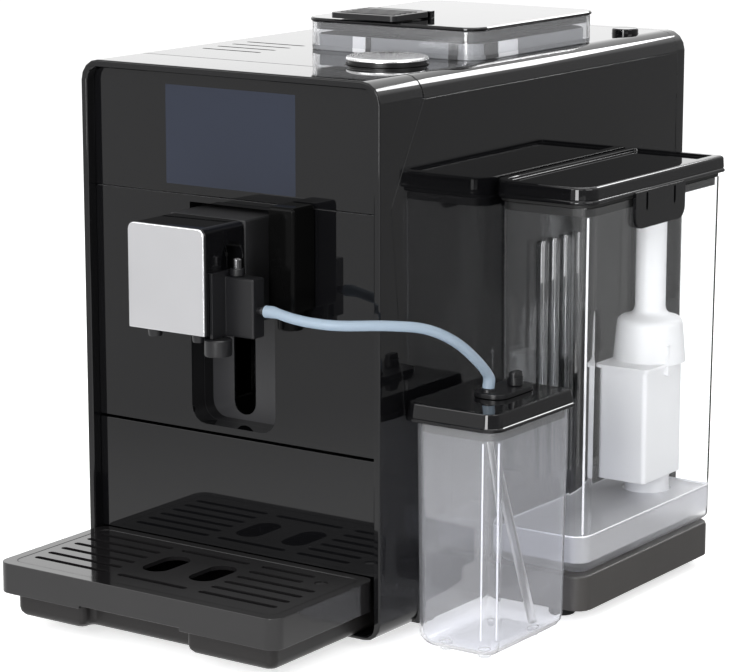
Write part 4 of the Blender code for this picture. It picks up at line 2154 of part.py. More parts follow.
def make_water_system():
    """The pump and the two boilers, which stand on the base plate."""
    floor = FRAME_FLOOR
    pump = turned(
        "pump",
        [
            (0.0, floor + PUMP_HEIGHT + PUMP_NECK_HEIGHT),
            (PUMP_NECK_RADIUS, floor + PUMP_HEIGHT + PUMP_NECK_HEIGHT),
            (PUMP_NECK_RADIUS, floor + PUMP_HEIGHT),
            (PUMP_RADIUS, floor + PUMP_HEIGHT),
            (PUMP_RADIUS, floor),
            (0.0, floor),
        ],
        (PUMP_X, PUMP_Y, 0.0),
        FRAME_GREY,
    )
    boilers = []
    for name, place, radius, height in (
        ("coffee_boiler", (BOILER_X, BOILER_Y, 0.0), BOILER_RADIUS, BOILER_HEIGHT),
        ("steam_boiler", (STEAM_BOILER_X, STEAM_BOILER_Y, 0.0), STEAM_BOILER_RADIUS, STEAM_BOILER_HEIGHT),
    ):
        profile = disc_profile(radius, floor + height, floor, BOILER_CAP)
        boilers.append(turned(name, profile, place, BOILER_METAL))
    return pump, *boilers


def make_control_board():
    """The control board on the right side panel."""
    face = HOUSING_WIDTH - WALL - GAP
    return box(
        "control_board",
        (face - BOARD_THICKNESS, face),
        (BOARD_FRONT, BOARD_FRONT + BOARD_DEPTH),
        (BOARD_BOTTOM, BOARD_BOTTOM + BOARD_HEIGHT),
        BOARD_GREEN,
    )


# The root, then one empty on the axis of each joint
ROOT = axis_empty("coffee_machine_root", ROOT_PLACE)
SPOUT_AXIS = axis_empty("spout_slide_axis", (SLOT_MIDDLE, LINER_BACK, SPOUT_Z[0]), ROOT)
TRAY_AXIS = axis_empty("drip_tray_axis", (middle(TRAY_X), TRAY_Y[0], BASIN_FLOOR), ROOT)
GRID_AXIS = axis_empty("drip_grid_axis", (middle(GRID_X), middle(GRID_Y), GRID_BOTTOM), TRAY_AXIS)
FLOAT_AXIS = axis_empty("float_axis", (FLOAT_X, FLOAT_Y, BASIN_FLOOR), GRID_AXIS)
DRAWER_AXIS = axis_empty("grounds_drawer_axis", (middle(FRONT_X), FRONT_INSET, DRAWER_BOTTOM), ROOT)
TANK_AXIS = axis_empty("water_tank_axis", (TANK_MIDDLE, VALVE_Y, TANK_BOTTOM), ROOT)
TANK_HINGE = axis_empty("tank_lid_hinge", (TANK_MIDDLE, HINGE_Y, HINGE_Z), TANK_AXIS)
VALVE_AXIS = axis_empty("tank_valve_axis", (TANK_MIDDLE, VALVE_Y, TANK_FLOOR), TANK_AXIS)
MILK_AXIS = axis_empty("milk_container_axis", (middle(MILK_X), middle(MILK_Y), MILK_FLOOR), ROOT)
MILK_LID_AXIS = axis_empty("milk_lid_axis", (middle(MILK_X), middle(MILK_Y), MILK_TOP), MILK_AXIS)
KNOB_AXIS = axis_empty("milk_knob_axis", (KNOB_X, KNOB_Y, CONNECTOR_Z[1]), MILK_LID_AXIS)
HOPPER_LID_AXIS = axis_empty("hopper_lid_axis", (middle(HOPPER_X), middle(HOPPER_Y), HOPPER_TOP), ROOT)
FLAP_HINGE = axis_empty("powder_flap_hinge", (middle(FLAP_X), FLAP_AXIS_Y, FLAP_AXIS_Z), HOPPER_LID_AXIS)
DIAL_AXIS = axis_empty("grinder_dial_axis", (DIAL_X, DIAL_Y, HOUSING_HEIGHT), ROOT)
BUTTON_AXIS = axis_empty("power_button_axis", (BUTTON_X, BUTTON_Y, HOUSING_HEIGHT), ROOT)
PISTON_AXIS = axis_empty("brew_piston_axis", (CHAMBER_X, CHAMBER_Y, CHAMBER_FLOOR), ROOT)

# Housing and what is fixed to it
make_front_bezel()
make_side_panels()
make_top_panel()
make_back_cover()
make_power_inlet()
make_base_chassis()
make_feet()
make_front_glass()
make_middle_fascia()
make_spout_recess()
make_hot_water_spout()
make_service_bay()
make_inner_frame()
make_grinder()
make_water_system()
make_control_board()
make_bean_hopper()

# What moves
make_spout_carriage(SPOUT_AXIS)
make_spout_head(SPOUT_AXIS)
make_coffee_nozzles(SPOUT_AXIS)
make_frother(SPOUT_AXIS)
make_milk_hose()
make_tray_basin(TRAY_AXIS)
make_tray_rim(TRAY_AXIS)
make_drip_grid(GRID_AXIS)
make_tray_float(FLOAT_AXIS)
make_grounds_drawer(DRAWER_AXIS)
make_water_tank(TANK_AXIS)
make_water_filter(TANK_AXIS)
make_tank_lid(TANK_HINGE)
make_tank_seal(TANK_HINGE)
make_tank_valve(VALVE_AXIS)
make_milk_container(MILK_AXIS)
make_milk_lid(MILK_LID_AXIS)
make_milk_connector(MILK_LID_AXIS)
make_suction_tube(MILK_LID_AXIS)
make_milk_knob(KNOB_AXIS)
make_hopper_lid(HOPPER_LID_AXIS)
make_powder_flap(FLAP_HINGE)
make_dial(DIAL_AXIS)
make_button(BUTTON_AXIS)
make_brew_unit(PISTON_AXIS)
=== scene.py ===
"""Looks of a countertop coffee machine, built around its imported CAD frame.

Sizes named in millimetres are read in the housing's own frame: X from the housing's left side,
Y back from its front edge and Z up from its lower edge, as in the part's source.
"""

import json
import math

import bmesh
import bpy
from mathutils import Matrix, Vector

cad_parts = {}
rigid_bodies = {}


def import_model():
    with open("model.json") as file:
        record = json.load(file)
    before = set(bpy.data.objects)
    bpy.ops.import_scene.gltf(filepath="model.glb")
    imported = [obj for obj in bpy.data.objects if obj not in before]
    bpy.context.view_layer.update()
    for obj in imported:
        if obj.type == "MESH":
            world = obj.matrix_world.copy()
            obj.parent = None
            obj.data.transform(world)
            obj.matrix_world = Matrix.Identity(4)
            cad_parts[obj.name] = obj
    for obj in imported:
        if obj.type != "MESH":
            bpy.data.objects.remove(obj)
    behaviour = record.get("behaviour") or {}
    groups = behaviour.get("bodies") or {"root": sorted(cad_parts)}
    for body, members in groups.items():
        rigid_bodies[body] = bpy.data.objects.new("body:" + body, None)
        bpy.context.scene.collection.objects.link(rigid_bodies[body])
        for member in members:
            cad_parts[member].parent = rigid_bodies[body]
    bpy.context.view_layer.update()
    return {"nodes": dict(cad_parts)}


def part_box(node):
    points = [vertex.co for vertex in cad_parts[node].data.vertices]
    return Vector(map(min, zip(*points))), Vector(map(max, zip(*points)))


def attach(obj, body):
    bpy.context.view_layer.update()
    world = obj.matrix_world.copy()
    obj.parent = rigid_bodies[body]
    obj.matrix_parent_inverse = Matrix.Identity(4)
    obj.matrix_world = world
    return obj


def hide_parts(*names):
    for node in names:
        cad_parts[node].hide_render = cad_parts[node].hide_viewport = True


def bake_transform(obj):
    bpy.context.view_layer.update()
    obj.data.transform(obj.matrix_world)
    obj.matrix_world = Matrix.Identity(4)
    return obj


bl_info = {
    "name": "Coffee machine",
    "version": (1, 0, 0),
    "blender": (4, 5, 0),
    "location": "View3D > Sidebar > Coffee machine",
    "description": "Dresses the packed coffee machine with its finishes and small details",
    "category": "Object",
}

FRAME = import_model()
MM = 0.001
HOUSE_CORNER = Vector((-0.15215, -0.1389, 0.008))
MERGED = 0.001 * MM  # points nearer to each other than this are one
SHARP = 32.0  # edges with a greater angle in degrees are rounded, and stay sharp in shading
ROUND_STEPS = 48
CORNER_STEPS = 10
LEAST_RADIUS = 0.8

# Plans in millimetres: limits on X, limits on Y, radius of the front corners and of the back corners
TANK_PLAN = ((232.0, 301.0), (122.0, 293.0), 12.0, 2.5)
TANK_LID_PLAN = ((230.2, 302.8), (119.0, 298.0), 13.8, 2.5)
MILK_LID_PLAN = ((235.5, 304.3), (11.5, 106.0), 11.0, 2.5)
HOPPER_PLAN = ((84.3, 216.3), (124.9, 275.0), 13.0, 13.0)
TANK_OUTLET = (266.5, 262.0)

CAMERA_PLACE = (1.02895, -1.52509, 0.55067)
CAMERA_LENS, CAMERA_SENSOR = 141.28, 36.0
CAMERA_DOWN, CAMERA_TURN = 11.835, 34.739
LAMP_AIM = Vector((0.0, 0.0, 0.15))
LAMPS = (  # name, place, size in metres and power in watts
    ("front_softbox", (-1.1, -1.9, 1.5), (1.6, 1.6), 20.0),
    ("right_softbox", (2.0, -0.4, 1.2), (1.4, 1.4), 15.0),
    ("top_softbox", (0.1, 0.2, 2.3), (1.6, 1.6), 18.0),
    ("front_strip", (0.4, -1.75, 0.5), (0.55, 0.95), 22.0),
    ("camera_fill", (1.0, -1.7, 1.3), (0.9, 0.9), 4.0),
    ("back_strip", (0.36, 1.53, 1.27), (0.5, 0.35), 7.0),
)
WHITE = (1.0, 1.0, 1.0, 1.0)
WORLD_LIGHT = 0.5
FLOOR_SIZE, FLOOR_GREY, FLOOR_GLOW = 6.0, (0.86, 0.86, 0.86, 1.0), 0.62
MIRRORED_WAY = (0.57, 0.82, 0.0)  # where the right side's gloss looks, along the floor
NOISE_MIDDLE = (0.3, 0.7)


# Places and forms

def house(x, y, z):
    """A point given in millimetres from the housing's lower front left corner."""
    return HOUSE_CORNER + Vector((x, y, z)) * MM


def measured(place):
    """A place in millimetres from the housing's lower front left corner."""
    return (place - HOUSE_CORNER) / MM


def block(x, y, z):
    """A cuboid between two limits in millimetres on each axis."""
    form = bmesh.new()
    bmesh.ops.create_cube(form, size=1.0)
    size = Vector((x[1] - x[0], y[1] - y[0], z[1] - z[0])) * MM
    bmesh.ops.scale(form, vec=size, verts=form.verts)
    centre = house(sum(x) / 2, sum(y) / 2, sum(z) / 2)
    bmesh.ops.translate(form, vec=centre, verts=form.verts)
    return form


def bevel(form, edges, width, segments=2):
    """Round some edges of a form by a width in millimetres."""
    bmesh.ops.bevel(
        form, geom=edges, offset=width * MM, offset_type="OFFSET", segments=segments,
        profile=0.5, affect="EDGES", clamp_overlap=True, material=-1,
    )
    return form


def along(edge, axis):
    """Whether an edge runs along an axis."""
    span = edge.verts[0].co - edge.verts[1].co
    return abs(span.normalized()[axis]) > 0.999


def sharp_edges(form, angle=SHARP):
    """The edges where two faces meet at more than an angle in degrees."""
    limit = math.radians(angle)
    return [e for e in form.edges if len(e.link_faces) == 2 and e.calc_face_angle() > limit]


def slab(x, y, z, axis, corner, edge=0.0):
    """A cuboid whose edges along one axis are round by a corner, and its other edges by an edge."""
    form = block(x, y, z)
    bevel(form, [e for e in form.edges if along(e, axis)], corner, 6)
    if edge:
        bevel(form, sharp_edges(form), edge, 2)
    return form


def spun(profile, x, y, steps=ROUND_STEPS):
    """A (radius, height) profile in millimetres, turned about an upright axis at x, y."""
    form = bmesh.new()
    axis = house(x, y, 0.0)
    points = [form.verts.new(axis + Vector((r, 0.0, h)) * MM) for r, h in profile]
    edges = [form.edges.new(pair) for pair in zip(points, points[1:])]
    bmesh.ops.spin(
        form, geom=points + edges, cent=axis, axis=(0.0, 0.0, 1.0), angle=2 * math.pi,
        steps=steps, use_merge=True,
    )
    bmesh.ops.remove_doubles(form, verts=form.verts, dist=MERGED)
    bmesh.ops.recalc_face_normals(form, faces=form.faces)
    return form


def stacked(x, y, front, back, levels):
    """A closed form through plan outlines, each an (inset, height) from the first face to the last.

    The outline's front corners lose the inset from their radius, and its back corners keep theirs.
    """
    form = bmesh.new()
    rings = []
    for inset, height in levels:
        near = max(front - inset, LEAST_RADIUS)
        corners = (
            (x[0], y[0], 1, 1, near, 180), (x[1], y[0], -1, 1, near, 270),
            (x[1], y[1], -1, -1, back, 0), (x[0], y[1], 1, -1, back, 90),
        )
        ring = []
        for corner_x, corner_y, across, deep, radius, start in corners:
            centre_x = corner_x + across * (inset + radius)
            centre_y = corner_y + deep * (inset + radius)
            for step in range(CORNER_STEPS + 1):
                turn = math.radians(start + 90.0 * step / CORNER_STEPS)
                across_x, along_y = radius * math.cos(turn), radius * math.sin(turn)
                ring.append(form.verts.new(house(centre_x + across_x, centre_y + along_y, height)))
        rings.append(ring)
    for upper, lower in zip(rings, rings[1:]):
        for index, corner in enumerate(upper):
            following = (index + 1) % len(upper)
            form.faces.new((corner, lower[index], lower[following], upper[following]))
    form.faces.new(rings[0])
    form.faces.new(rings[-1])
    bmesh.ops.recalc_face_normals(form, faces=form.faces)
    return form


def disc(x, y, z, radius, chamfer=0.3, steps=ROUND_STEPS):
    """A round plate between two heights, with its edges taken off."""
    low, high = z
    return spun([
        (0.0, high), (radius - chamfer, high), (radius, high - chamfer),
        (radius, low + chamfer), (radius - chamfer, low), (0.0, low),
    ], x, y, steps)


def rod(x, y, z, radius, lean):
    """A thin upright rod whose foot leans to the left and to the back by a length in millimetres."""
    form = disc(x, y, z, radius, radius / 2, 12)
    low = house(0.0, 0.0, z[0]).z
    for vert in form.verts:
        fall = lean * MM * (1.0 - (vert.co.z - low) / (MM * (z[1] - z[0])))
        vert.co.x -= fall
        vert.co.y += fall
    return form


def turned(form, angle, axis, place):
    """Turn a form by an angle in degrees about an axis through a place."""
    matrix = Matrix.Rotation(math.radians(angle), 3, axis)
    bmesh.ops.rotate(form, cent=place, matrix=matrix, verts=form.verts)
    return form


def add_object(name, data):
    """A new object in the scene."""
    item = bpy.data.objects.new(name, data)
    bpy.context.scene.collection.objects.link(item)
    return item


def form_of(item):
    """The form of an object as its modifiers leave it; the object itself goes."""
    evaluated = item.evaluated_get(bpy.context.evaluated_depsgraph_get())
    mesh = bpy.data.meshes.new_from_object(evaluated)
    form = bmesh.new()
    form.from_mesh(mesh)
    bpy.data.meshes.remove(mesh)
    bpy.data.objects.remove(item, do_unlink=True)
    return form


def cut(form, cutter):
    """Cut a form with another by an exact Boolean, and return what is left."""
    objects = []
    for name, shape in (("kept", form), ("taken", cutter)):
        mesh = bpy.data.meshes.new(name)
        shape.to_mesh(mesh)
        shape.free()
        objects.append(add_object(name, mesh))
    kept, taken = objects
    boolean = kept.modifiers.new("cut", "BOOLEAN")
    boolean.operation = "DIFFERENCE"
    boolean.solver = "EXACT"
    boolean.object = taken
    meshes = [item.data for item in objects]
    result = form_of(kept)
    bpy.data.objects.remove(taken, do_unlink=True)
    for mesh in meshes:
        bpy.data.meshes.remove(mesh)
    return result


def mark_below(form, height):
    """Give the faces under a height in millimetres a form's second material."""
    limit = house(0, 0, height).z
    for face in form.faces:
        if face.calc_center_median().z < limit:
            face.material_index = 1
    return form


def softened(node, width, segments=2, angle=SHARP):
    """A CAD node's form in whole faces, its hard edges rounded by a width in millimetres."""
    form = bmesh.new()
    form.from_mesh(FRAME["nodes"][node].data)
    bmesh.ops.remove_doubles(form, verts=form.verts, dist=0.005 * MM)
    flat = math.radians(0.4)
    bmesh.ops.dissolve_limit(form, angle_limit=flat, verts=form.verts, edges=form.edges)
    return bevel(form, sharp_edges(form, angle), width, segments)


def add_piece(name, form, finishes, body, slot, *nodes, smooth=SHARP):
    """A piece in one finish or a tuple of them, on its body, standing for the CAD nodes named."""
    mesh = bpy.data.meshes.new(name)
    form.to_mesh(mesh)
    form.free()
    mesh.shade_smooth()
    mesh.set_sharp_from_angle(angle=math.radians(smooth))
    piece = add_object(name, mesh)
    shading = piece.modifiers.new("flat faces stay flat", "WEIGHTED_NORMAL")
    shading.keep_sharp = True
    shading.weight = 100
    for finish in (finishes,) if isinstance(finishes, str) else finishes:
        mesh.materials.append(FINISHES[finish])
    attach(piece, body)
    if nodes:
        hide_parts(*nodes)


def dress(name, node, width, finishes, body, slot, segments=2):
    """A piece with a CAD node's form, its hard edges rounded by a width in millimetres."""
    add_piece(name, softened(node, width, segments), finishes, body, slot, node)


# Shader nodes, and node groups that several finishes use

def feed(tree, node, inputs):
    """Give a node its inputs: another node's output is linked, and a constant is set."""
    for label, value in inputs.items():
        if isinstance(value, bpy.types.NodeSocket):
            tree.links.new(value, node.inputs[label])
        else:
            node.inputs[label].default_value = value


def add_node(tree, kind, output, inputs, **settings):
    """A shader node with its inputs and settings, and the output of it that is asked for."""
    node = tree.nodes.new(f"ShaderNode{kind}")
    for name, value in settings.items():
        setattr(node, name, value)
    feed(tree, node, inputs)
    return node.outputs[output]


def add_math(tree, operation, *values):
    """The result of a Math node on constants or outputs."""
    return add_node(tree, "Math", "Value", dict(enumerate(values)), operation=operation)


def noise(tree, vector, scale, detail):
    """A noise texture of a scale and a detail."""
    return add_node(tree, "TexNoise", "Fac", {"Vector": vector, "Scale": scale, "Detail": detail})


def ramp(tree, value, limits, levels, kind="LINEAR"):
    """A step from one level to another as a value passes from one limit to another."""
    inputs = {
        "Value": value, "From Min": limits[0], "From Max": limits[1],
        "To Min": levels[0], "To Max": levels[1],
    }
    return add_node(tree, "MapRange", "Result", inputs, interpolation_type=kind)


def new_group(name, inputs, outputs):
    """A node group on a vector and more inputs, what its input node gives and its output node."""
    group = bpy.data.node_groups.new(name, "ShaderNodeTree")
    group.interface.new_socket("Vector", in_out="INPUT", socket_type="NodeSocketVector")
    for label, kind, value in inputs:
        socket = group.interface.new_socket(label, in_out="INPUT", socket_type=f"NodeSocket{kind}")
        socket.default_value = value
    for label, kind in outputs:
        group.interface.new_socket(label, in_out="OUTPUT", socket_type=f"NodeSocket{kind}")
    start = group.nodes.new("NodeGroupInput")
    end = group.nodes.new("NodeGroupOutput")
    return group, start.outputs, end


def build_moulded_grain():
    """Moulded plastic: a fine grain for the bump and a slow drift of the colour."""
    group, start, end = new_group(
        "moulded_grain",
        [
            ("Grain Scale", "Float", 1500.0), ("Colour", "Color", (0.5, 0.5, 0.5, 1.0)),
            ("Drift", "Float", 0.1),
        ],
        [("Colour", "Color"), ("Height", "Float")],
    )
    drift = ramp(group, noise(group, start["Vector"], 18.0, 3.0), NOISE_MIDDLE, (-0.5, 0.5))
    value = add_math(group, "MULTIPLY_ADD", drift, start["Drift"], 1.0)
    feed(group, end, {
        "Colour": add_node(group, "HueSaturation", "Color", {"Color": start["Colour"], "Value": value}),
        "Height": noise(group, start["Vector"], start["Grain Scale"], 2.0),
    })
    return group


def varied(group, start, value):
    """A roughness that rises by the group's spread where a noise is high."""
    mask = ramp(group, value, NOISE_MIDDLE, (0.0, 1.0))
    return add_math(group, "MULTIPLY_ADD", mask, start["Spread"], start["Roughness"])


def build_handling():
    """Handled gloss: a roughness that drifts, with faint wiped streaks."""
    group, start, end = new_group(
        "handling",
        [("Roughness", "Float", 0.1), ("Spread", "Float", 0.05)],
        [("Roughness", "Float")],
    )
    stretch = {"Vector": start["Vector"], "Scale": (14.0, 14.0, 3.0)}
    smear = noise(group, add_node(group, "Mapping", "Vector", stretch), 2.0, 4.0)
    feed(group, end, {"Roughness": varied(group, start, smear)})
    return group


def build_brushing():
    """Brushed metal: fine lines along one direction, for the bump and the roughness."""
    group, start, end = new_group(
        "brushing",
        [
            ("Stretch", "Vector", (1.0, 1.0, 60.0)), ("Roughness", "Float", 0.2),
            ("Spread", "Float", 0.08),
        ],
        [("Roughness", "Float"), ("Height", "Float")],
    )
    stretch = {0: start["Vector"], 1: start["Stretch"]}
    stretched = add_node(group, "VectorMath", "Vector", stretch, operation="MULTIPLY")
    lines = noise(group, stretched, 90.0, 3.0)
    feed(group, end, {"Roughness": varied(group, start, lines), "Height": lines})
    return group


BUILDERS = {
    "moulded_grain": build_moulded_grain, "handling": build_handling, "brushing": build_brushing,
}
GROUPS = {}


def add_group(tree, name, inputs):
    """Place a shared node group in a material with its own inputs, and return its outputs."""
    if name not in GROUPS:
        GROUPS[name] = BUILDERS[name]()
    node = tree.nodes.new("ShaderNodeGroup")
    node.node_tree = GROUPS[name]
    feed(tree, node, inputs)
    return node.outputs


# Finishes

def new_finish(name):
    """An empty material, its tree, its shader and its object coordinates."""
    material = bpy.data.materials.new(name)
    material.use_nodes = True
    tree = material.node_tree
    shader = tree.nodes["Principled BSDF"]
    return material, tree, shader, add_node(tree, "TexCoord", "Object", {})


def add_bump(tree, shader, height, depth):
    """Feed a height into the shader's normal, for a depth in millimetres."""
    inputs = {"Height": height, "Strength": 0.5, "Distance": depth * MM}
    feed(tree, shader, {"Normal": add_node(tree, "Bump", "Normal", inputs)})


def plastic(name, colour, roughness, spread=0.05, grain=0.02, drift=0.15, level=0.5):
    """Moulded plastic or rubber in one colour."""
    material, tree, shader, place = new_finish(name)
    skin = add_group(tree, "moulded_grain", {"Vector": place, "Colour": (*colour, 1.0), "Drift": drift})
    handled = add_group(tree, "handling", {"Vector": place, "Roughness": roughness, "Spread": spread})
    feed(tree, shader, {
        "Base Color": skin["Colour"], "Roughness": handled["Roughness"], "Specular IOR Level": level,
    })
    if grain:
        add_bump(tree, shader, skin["Height"], grain)
    return material


def metal(name, colour, roughness, spread, stretch, depth):
    """Brushed or polished metal."""
    material, tree, shader, place = new_finish(name)
    lines = add_group(tree, "brushing", {
        "Vector": place, "Stretch": stretch, "Roughness": roughness, "Spread": spread,
    })
    skin = add_group(tree, "moulded_grain", {"Vector": place, "Colour": (*colour, 1.0), "Drift": 0.06})
    feed(tree, shader, {
        "Base Color": skin["Colour"], "Roughness": lines["Roughness"], "Metallic": 1.0,
    })
    add_bump(tree, shader, lines["Height"], depth)
    return material


def clear(name, colour, roughness, spread=0.02, index=1.46, frost=None, body=1.0):
    """Clear plastic that lets light through; below a height in metres it can be frosted."""
    material, tree, shader, place = new_finish(name)
    skin = add_group(tree, "moulded_grain", {
        "Vector": place, "Colour": (*colour, 1.0), "Drift": 0.02, "Grain Scale": 60.0,
    })
    handled = add_group(tree, "handling", {"Vector": place, "Roughness": roughness, "Spread": spread})
    rough = handled["Roughness"]
    if frost is not None:
        height, roughest = frost
        above = add_node(tree, "SeparateXYZ", "Z", {"Vector": place})
        below = ramp(tree, above, (height, height + MM), (roughest, 0.0))
        rough = add_math(tree, "MAXIMUM", below, rough)
    feed(tree, shader, {
        "Base Color": skin["Colour"], "Roughness": rough, "Transmission Weight": body, "IOR": index,
    })
    path = tree.nodes.new("ShaderNodeLightPath").outputs
    light = add_math(tree, "MAXIMUM", path["Is Shadow Ray"], path["Is Diffuse Ray"])
    passed = add_node(tree, "BsdfTransparent", "BSDF", {"Color": (*colour, 1.0)})
    mix = add_node(tree, "MixShader", "Shader", {"Fac": light, 1: shader.outputs["BSDF"], 2: passed})
    feed(tree, tree.nodes["Material Output"], {"Surface": mix})
    return material


FINISHES = {}


def make_finishes(colours):
    """All finishes of the machine, from the colours in the panel."""
    FINISHES.update({
        "piano": plastic("piano_black", colours.body, 0.015, 0.02, 0.0, 0.1, 0.42),
        "bezel": plastic("bezel_black", (0.004, 0.004, 0.0045), 0.03, 0.03, 0.0, 0.1, 0.42),
        "glass": plastic("printed_glass", (0.003, 0.003, 0.0035), 0.01, 0.01, 0.0, 0.05, 0.45),
        "screen": plastic("display_window", (0.013, 0.017, 0.030), 0.01, 0.01, 0.0, 0.04, 0.42),
        "module": plastic("display_module", (0.03, 0.035, 0.05), 0.3),
        "niche": plastic("niche_black", (0.003, 0.003, 0.0035), 0.02, 0.02, 0.0, 0.1, 0.42),
        # Near-black with little gloss for the hot-water spout: painted shade for the dark that its
        # glossy faces mirror.
        "dim": plastic("painted_shade_black", (0.002, 0.002, 0.002), 0.08, 0.05, 0.0, 0.1, 0.06),
        # A rougher copy of the niche black, several times lighter in colour: painted light on the
        # niche's back wall.
        "niche_painted_light": plastic("niche_painted_light_satin", (0.026, 0.026, 0.028), 0.35, 0.08, 0.0, 0.1, 0.4),
        # Light grey for the fascia's top edge: a painted highlight line, not a joint.
        "painted_edge_highlight": plastic("painted_edge_highlight_grey", (0.16, 0.16, 0.165), 0.3, 0.05, 0.0, 0.1),
        "satin": plastic("satin_black", (0.007, 0.007, 0.008), 0.3, 0.08, 0.02, 0.1, 0.4),
        "matte": plastic("matte_black", (0.014, 0.014, 0.015), 0.5, 0.1, 0.03, 0.2, 0.4),
        "tray": plastic("tray_gloss", (0.010, 0.0095, 0.010), 0.05, 0.04, 0.0, 0.1, 0.5),
        "basin": plastic("tray_brown", (0.014, 0.013, 0.013), 0.36, 0.1, 0.03, level=0.25),
        "ledge": plastic("ledge_grey", (0.045, 0.042, 0.040), 0.36, 0.08, 0.02),
        "plate": metal("spout_plate", colours.metal, 0.24, 0.03, (1.0, 1.0, 40.0), 0.0003),
        "dial": metal("dial_top", (0.83, 0.83, 0.84), 0.22, 0.08, (12.0, 12.0, 1.0), 0.002),
        "chrome": metal("polished_metal", (0.82, 0.82, 0.83), 0.06, 0.03, (1.0, 1.0, 1.0), 0.001),
        "cap": metal("cap_metal", (0.09, 0.09, 0.093), 0.2, 0.08, (1.0, 1.0, 1.0), 0.002),
        "tank": clear("clear_tank", colours.tank, 0.02, 0.02, 1.38, (house(0, 0, 46).z, 0.28)),
        "milk": clear("clear_container", colours.container, 0.02, 0.02, 1.5, body=0.94),
        "hopper": clear("smoky_hopper", (0.93, 0.935, 0.95), 0.02, 0.02, 1.42, body=0.93),
        # Mid grey for a ring just inside the hopper's clear wall and for the hopper lid's lower faces:
        # painted sheen.
        "chute": plastic("painted_sheen_grey", (0.22, 0.225, 0.235), 0.3, 0.08, 0.0, 0.1),
        "frost": clear("frosted_floor", (0.88, 0.88, 0.90), 0.3, 0.05, 1.3, body=0.78),
        # Pale, half-clear finish for rods in the clear vessels' corners: painted highlight lines.
        "glint": clear("painted_corner_glint", (0.95, 0.95, 0.97), 0.2, 0.05, 1.4, body=0.45),
        # Near-white with almost no gloss for a ring at the tank's step: a painted highlight line.
        "edge": plastic("painted_highlight_white", (0.9, 0.9, 0.92), 0.3, 0.05, 0.0, 0.03),
        "hose": clear("silicone_hose", (0.40, 0.48, 0.56), 0.3, 0.08, 1.3, body=0.5),
        "tube": clear("tube_white", (0.93, 0.93, 0.92), 0.3, 0.08, 1.4),
        "white": plastic("filter_white", (0.84, 0.84, 0.85), 0.36, 0.08, 0.0, 0.03),
        "seal": plastic("seal_rubber", (0.008, 0.008, 0.008), 0.55, 0.1, 0.03, 0.2, 0.4),
        "rubber": plastic("foot_rubber", (0.014, 0.014, 0.014), 0.7, 0.1, 0.05, 0.3, 0.3),
        "frame": plastic("inner_grey", (0.10, 0.10, 0.105), 0.5, 0.1, 0.03),
        "cast": metal("cast_metal", (0.55, 0.55, 0.56), 0.36, 0.12, (1.0, 1.0, 1.0), 0.01),
        "board": plastic("board_green", (0.01, 0.07, 0.025), 0.3, 0.1, 0.01),
    })


def tint(name, description, default):
    """A colour property."""
    return bpy.props.FloatVectorProperty(
        name=name, description=description, subtype="COLOR", size=3, min=0.0, max=1.0, default=default,
    )


class MachineColours(bpy.types.PropertyGroup):
    """Colours of the machine's main finishes."""

    body: tint("Body", "Colour of the glossy panels", (0.0035, 0.0035, 0.004))
    metal: tint("Metal", "Colour of the spout's plate", (0.74, 0.74, 0.76))
    tank: tint("Tank", "Tint of the water tank", (0.985, 0.99, 0.995))
    container: tint("Container", "Tint of the milk container", (0.90, 0.905, 0.93))


class MachineSizes(bpy.types.PropertyGroup):
    """Sizes of the small details that are made here."""

    small_edge: bpy.props.FloatProperty(
        name="Small edge", description="Rounding of small pieces' edges, in millimetres",
        default=0.35, min=0.05, max=1.0,
    )
    hose_radius: bpy.props.FloatProperty(
        name="Hose radius", description="Outer radius of the milk hose",
        subtype="DISTANCE", unit="LENGTH", default=0.0032, min=0.002, max=0.005,
    )
    grip_ribs: bpy.props.IntProperty(
        name="Grip ribs", description="Upright ribs of the tank's hand grip",
        default=4, min=1, max=6,
    )
    flap_ribs: bpy.props.IntProperty(
        name="Flap ribs", description="Ribs on top of the powder flap",
        default=5, min=1, max=9,
    )


def mirrored_rays(tree):
    """One once gloss has thrown a ray back, and nothing for what only passes through glass."""
    return add_math(tree, "MINIMUM", add_node(tree, "LightPath", "Glossy Depth", {}), 1.0)


def seen_rays(tree):
    """One for rays from the camera, from gloss and through glass."""
    path = tree.nodes.new("ShaderNodeLightPath").outputs
    first = add_math(tree, "MAXIMUM", path["Is Camera Ray"], path["Is Glossy Ray"])
    return add_math(tree, "MAXIMUM", first, path["Is Transmission Ray"])


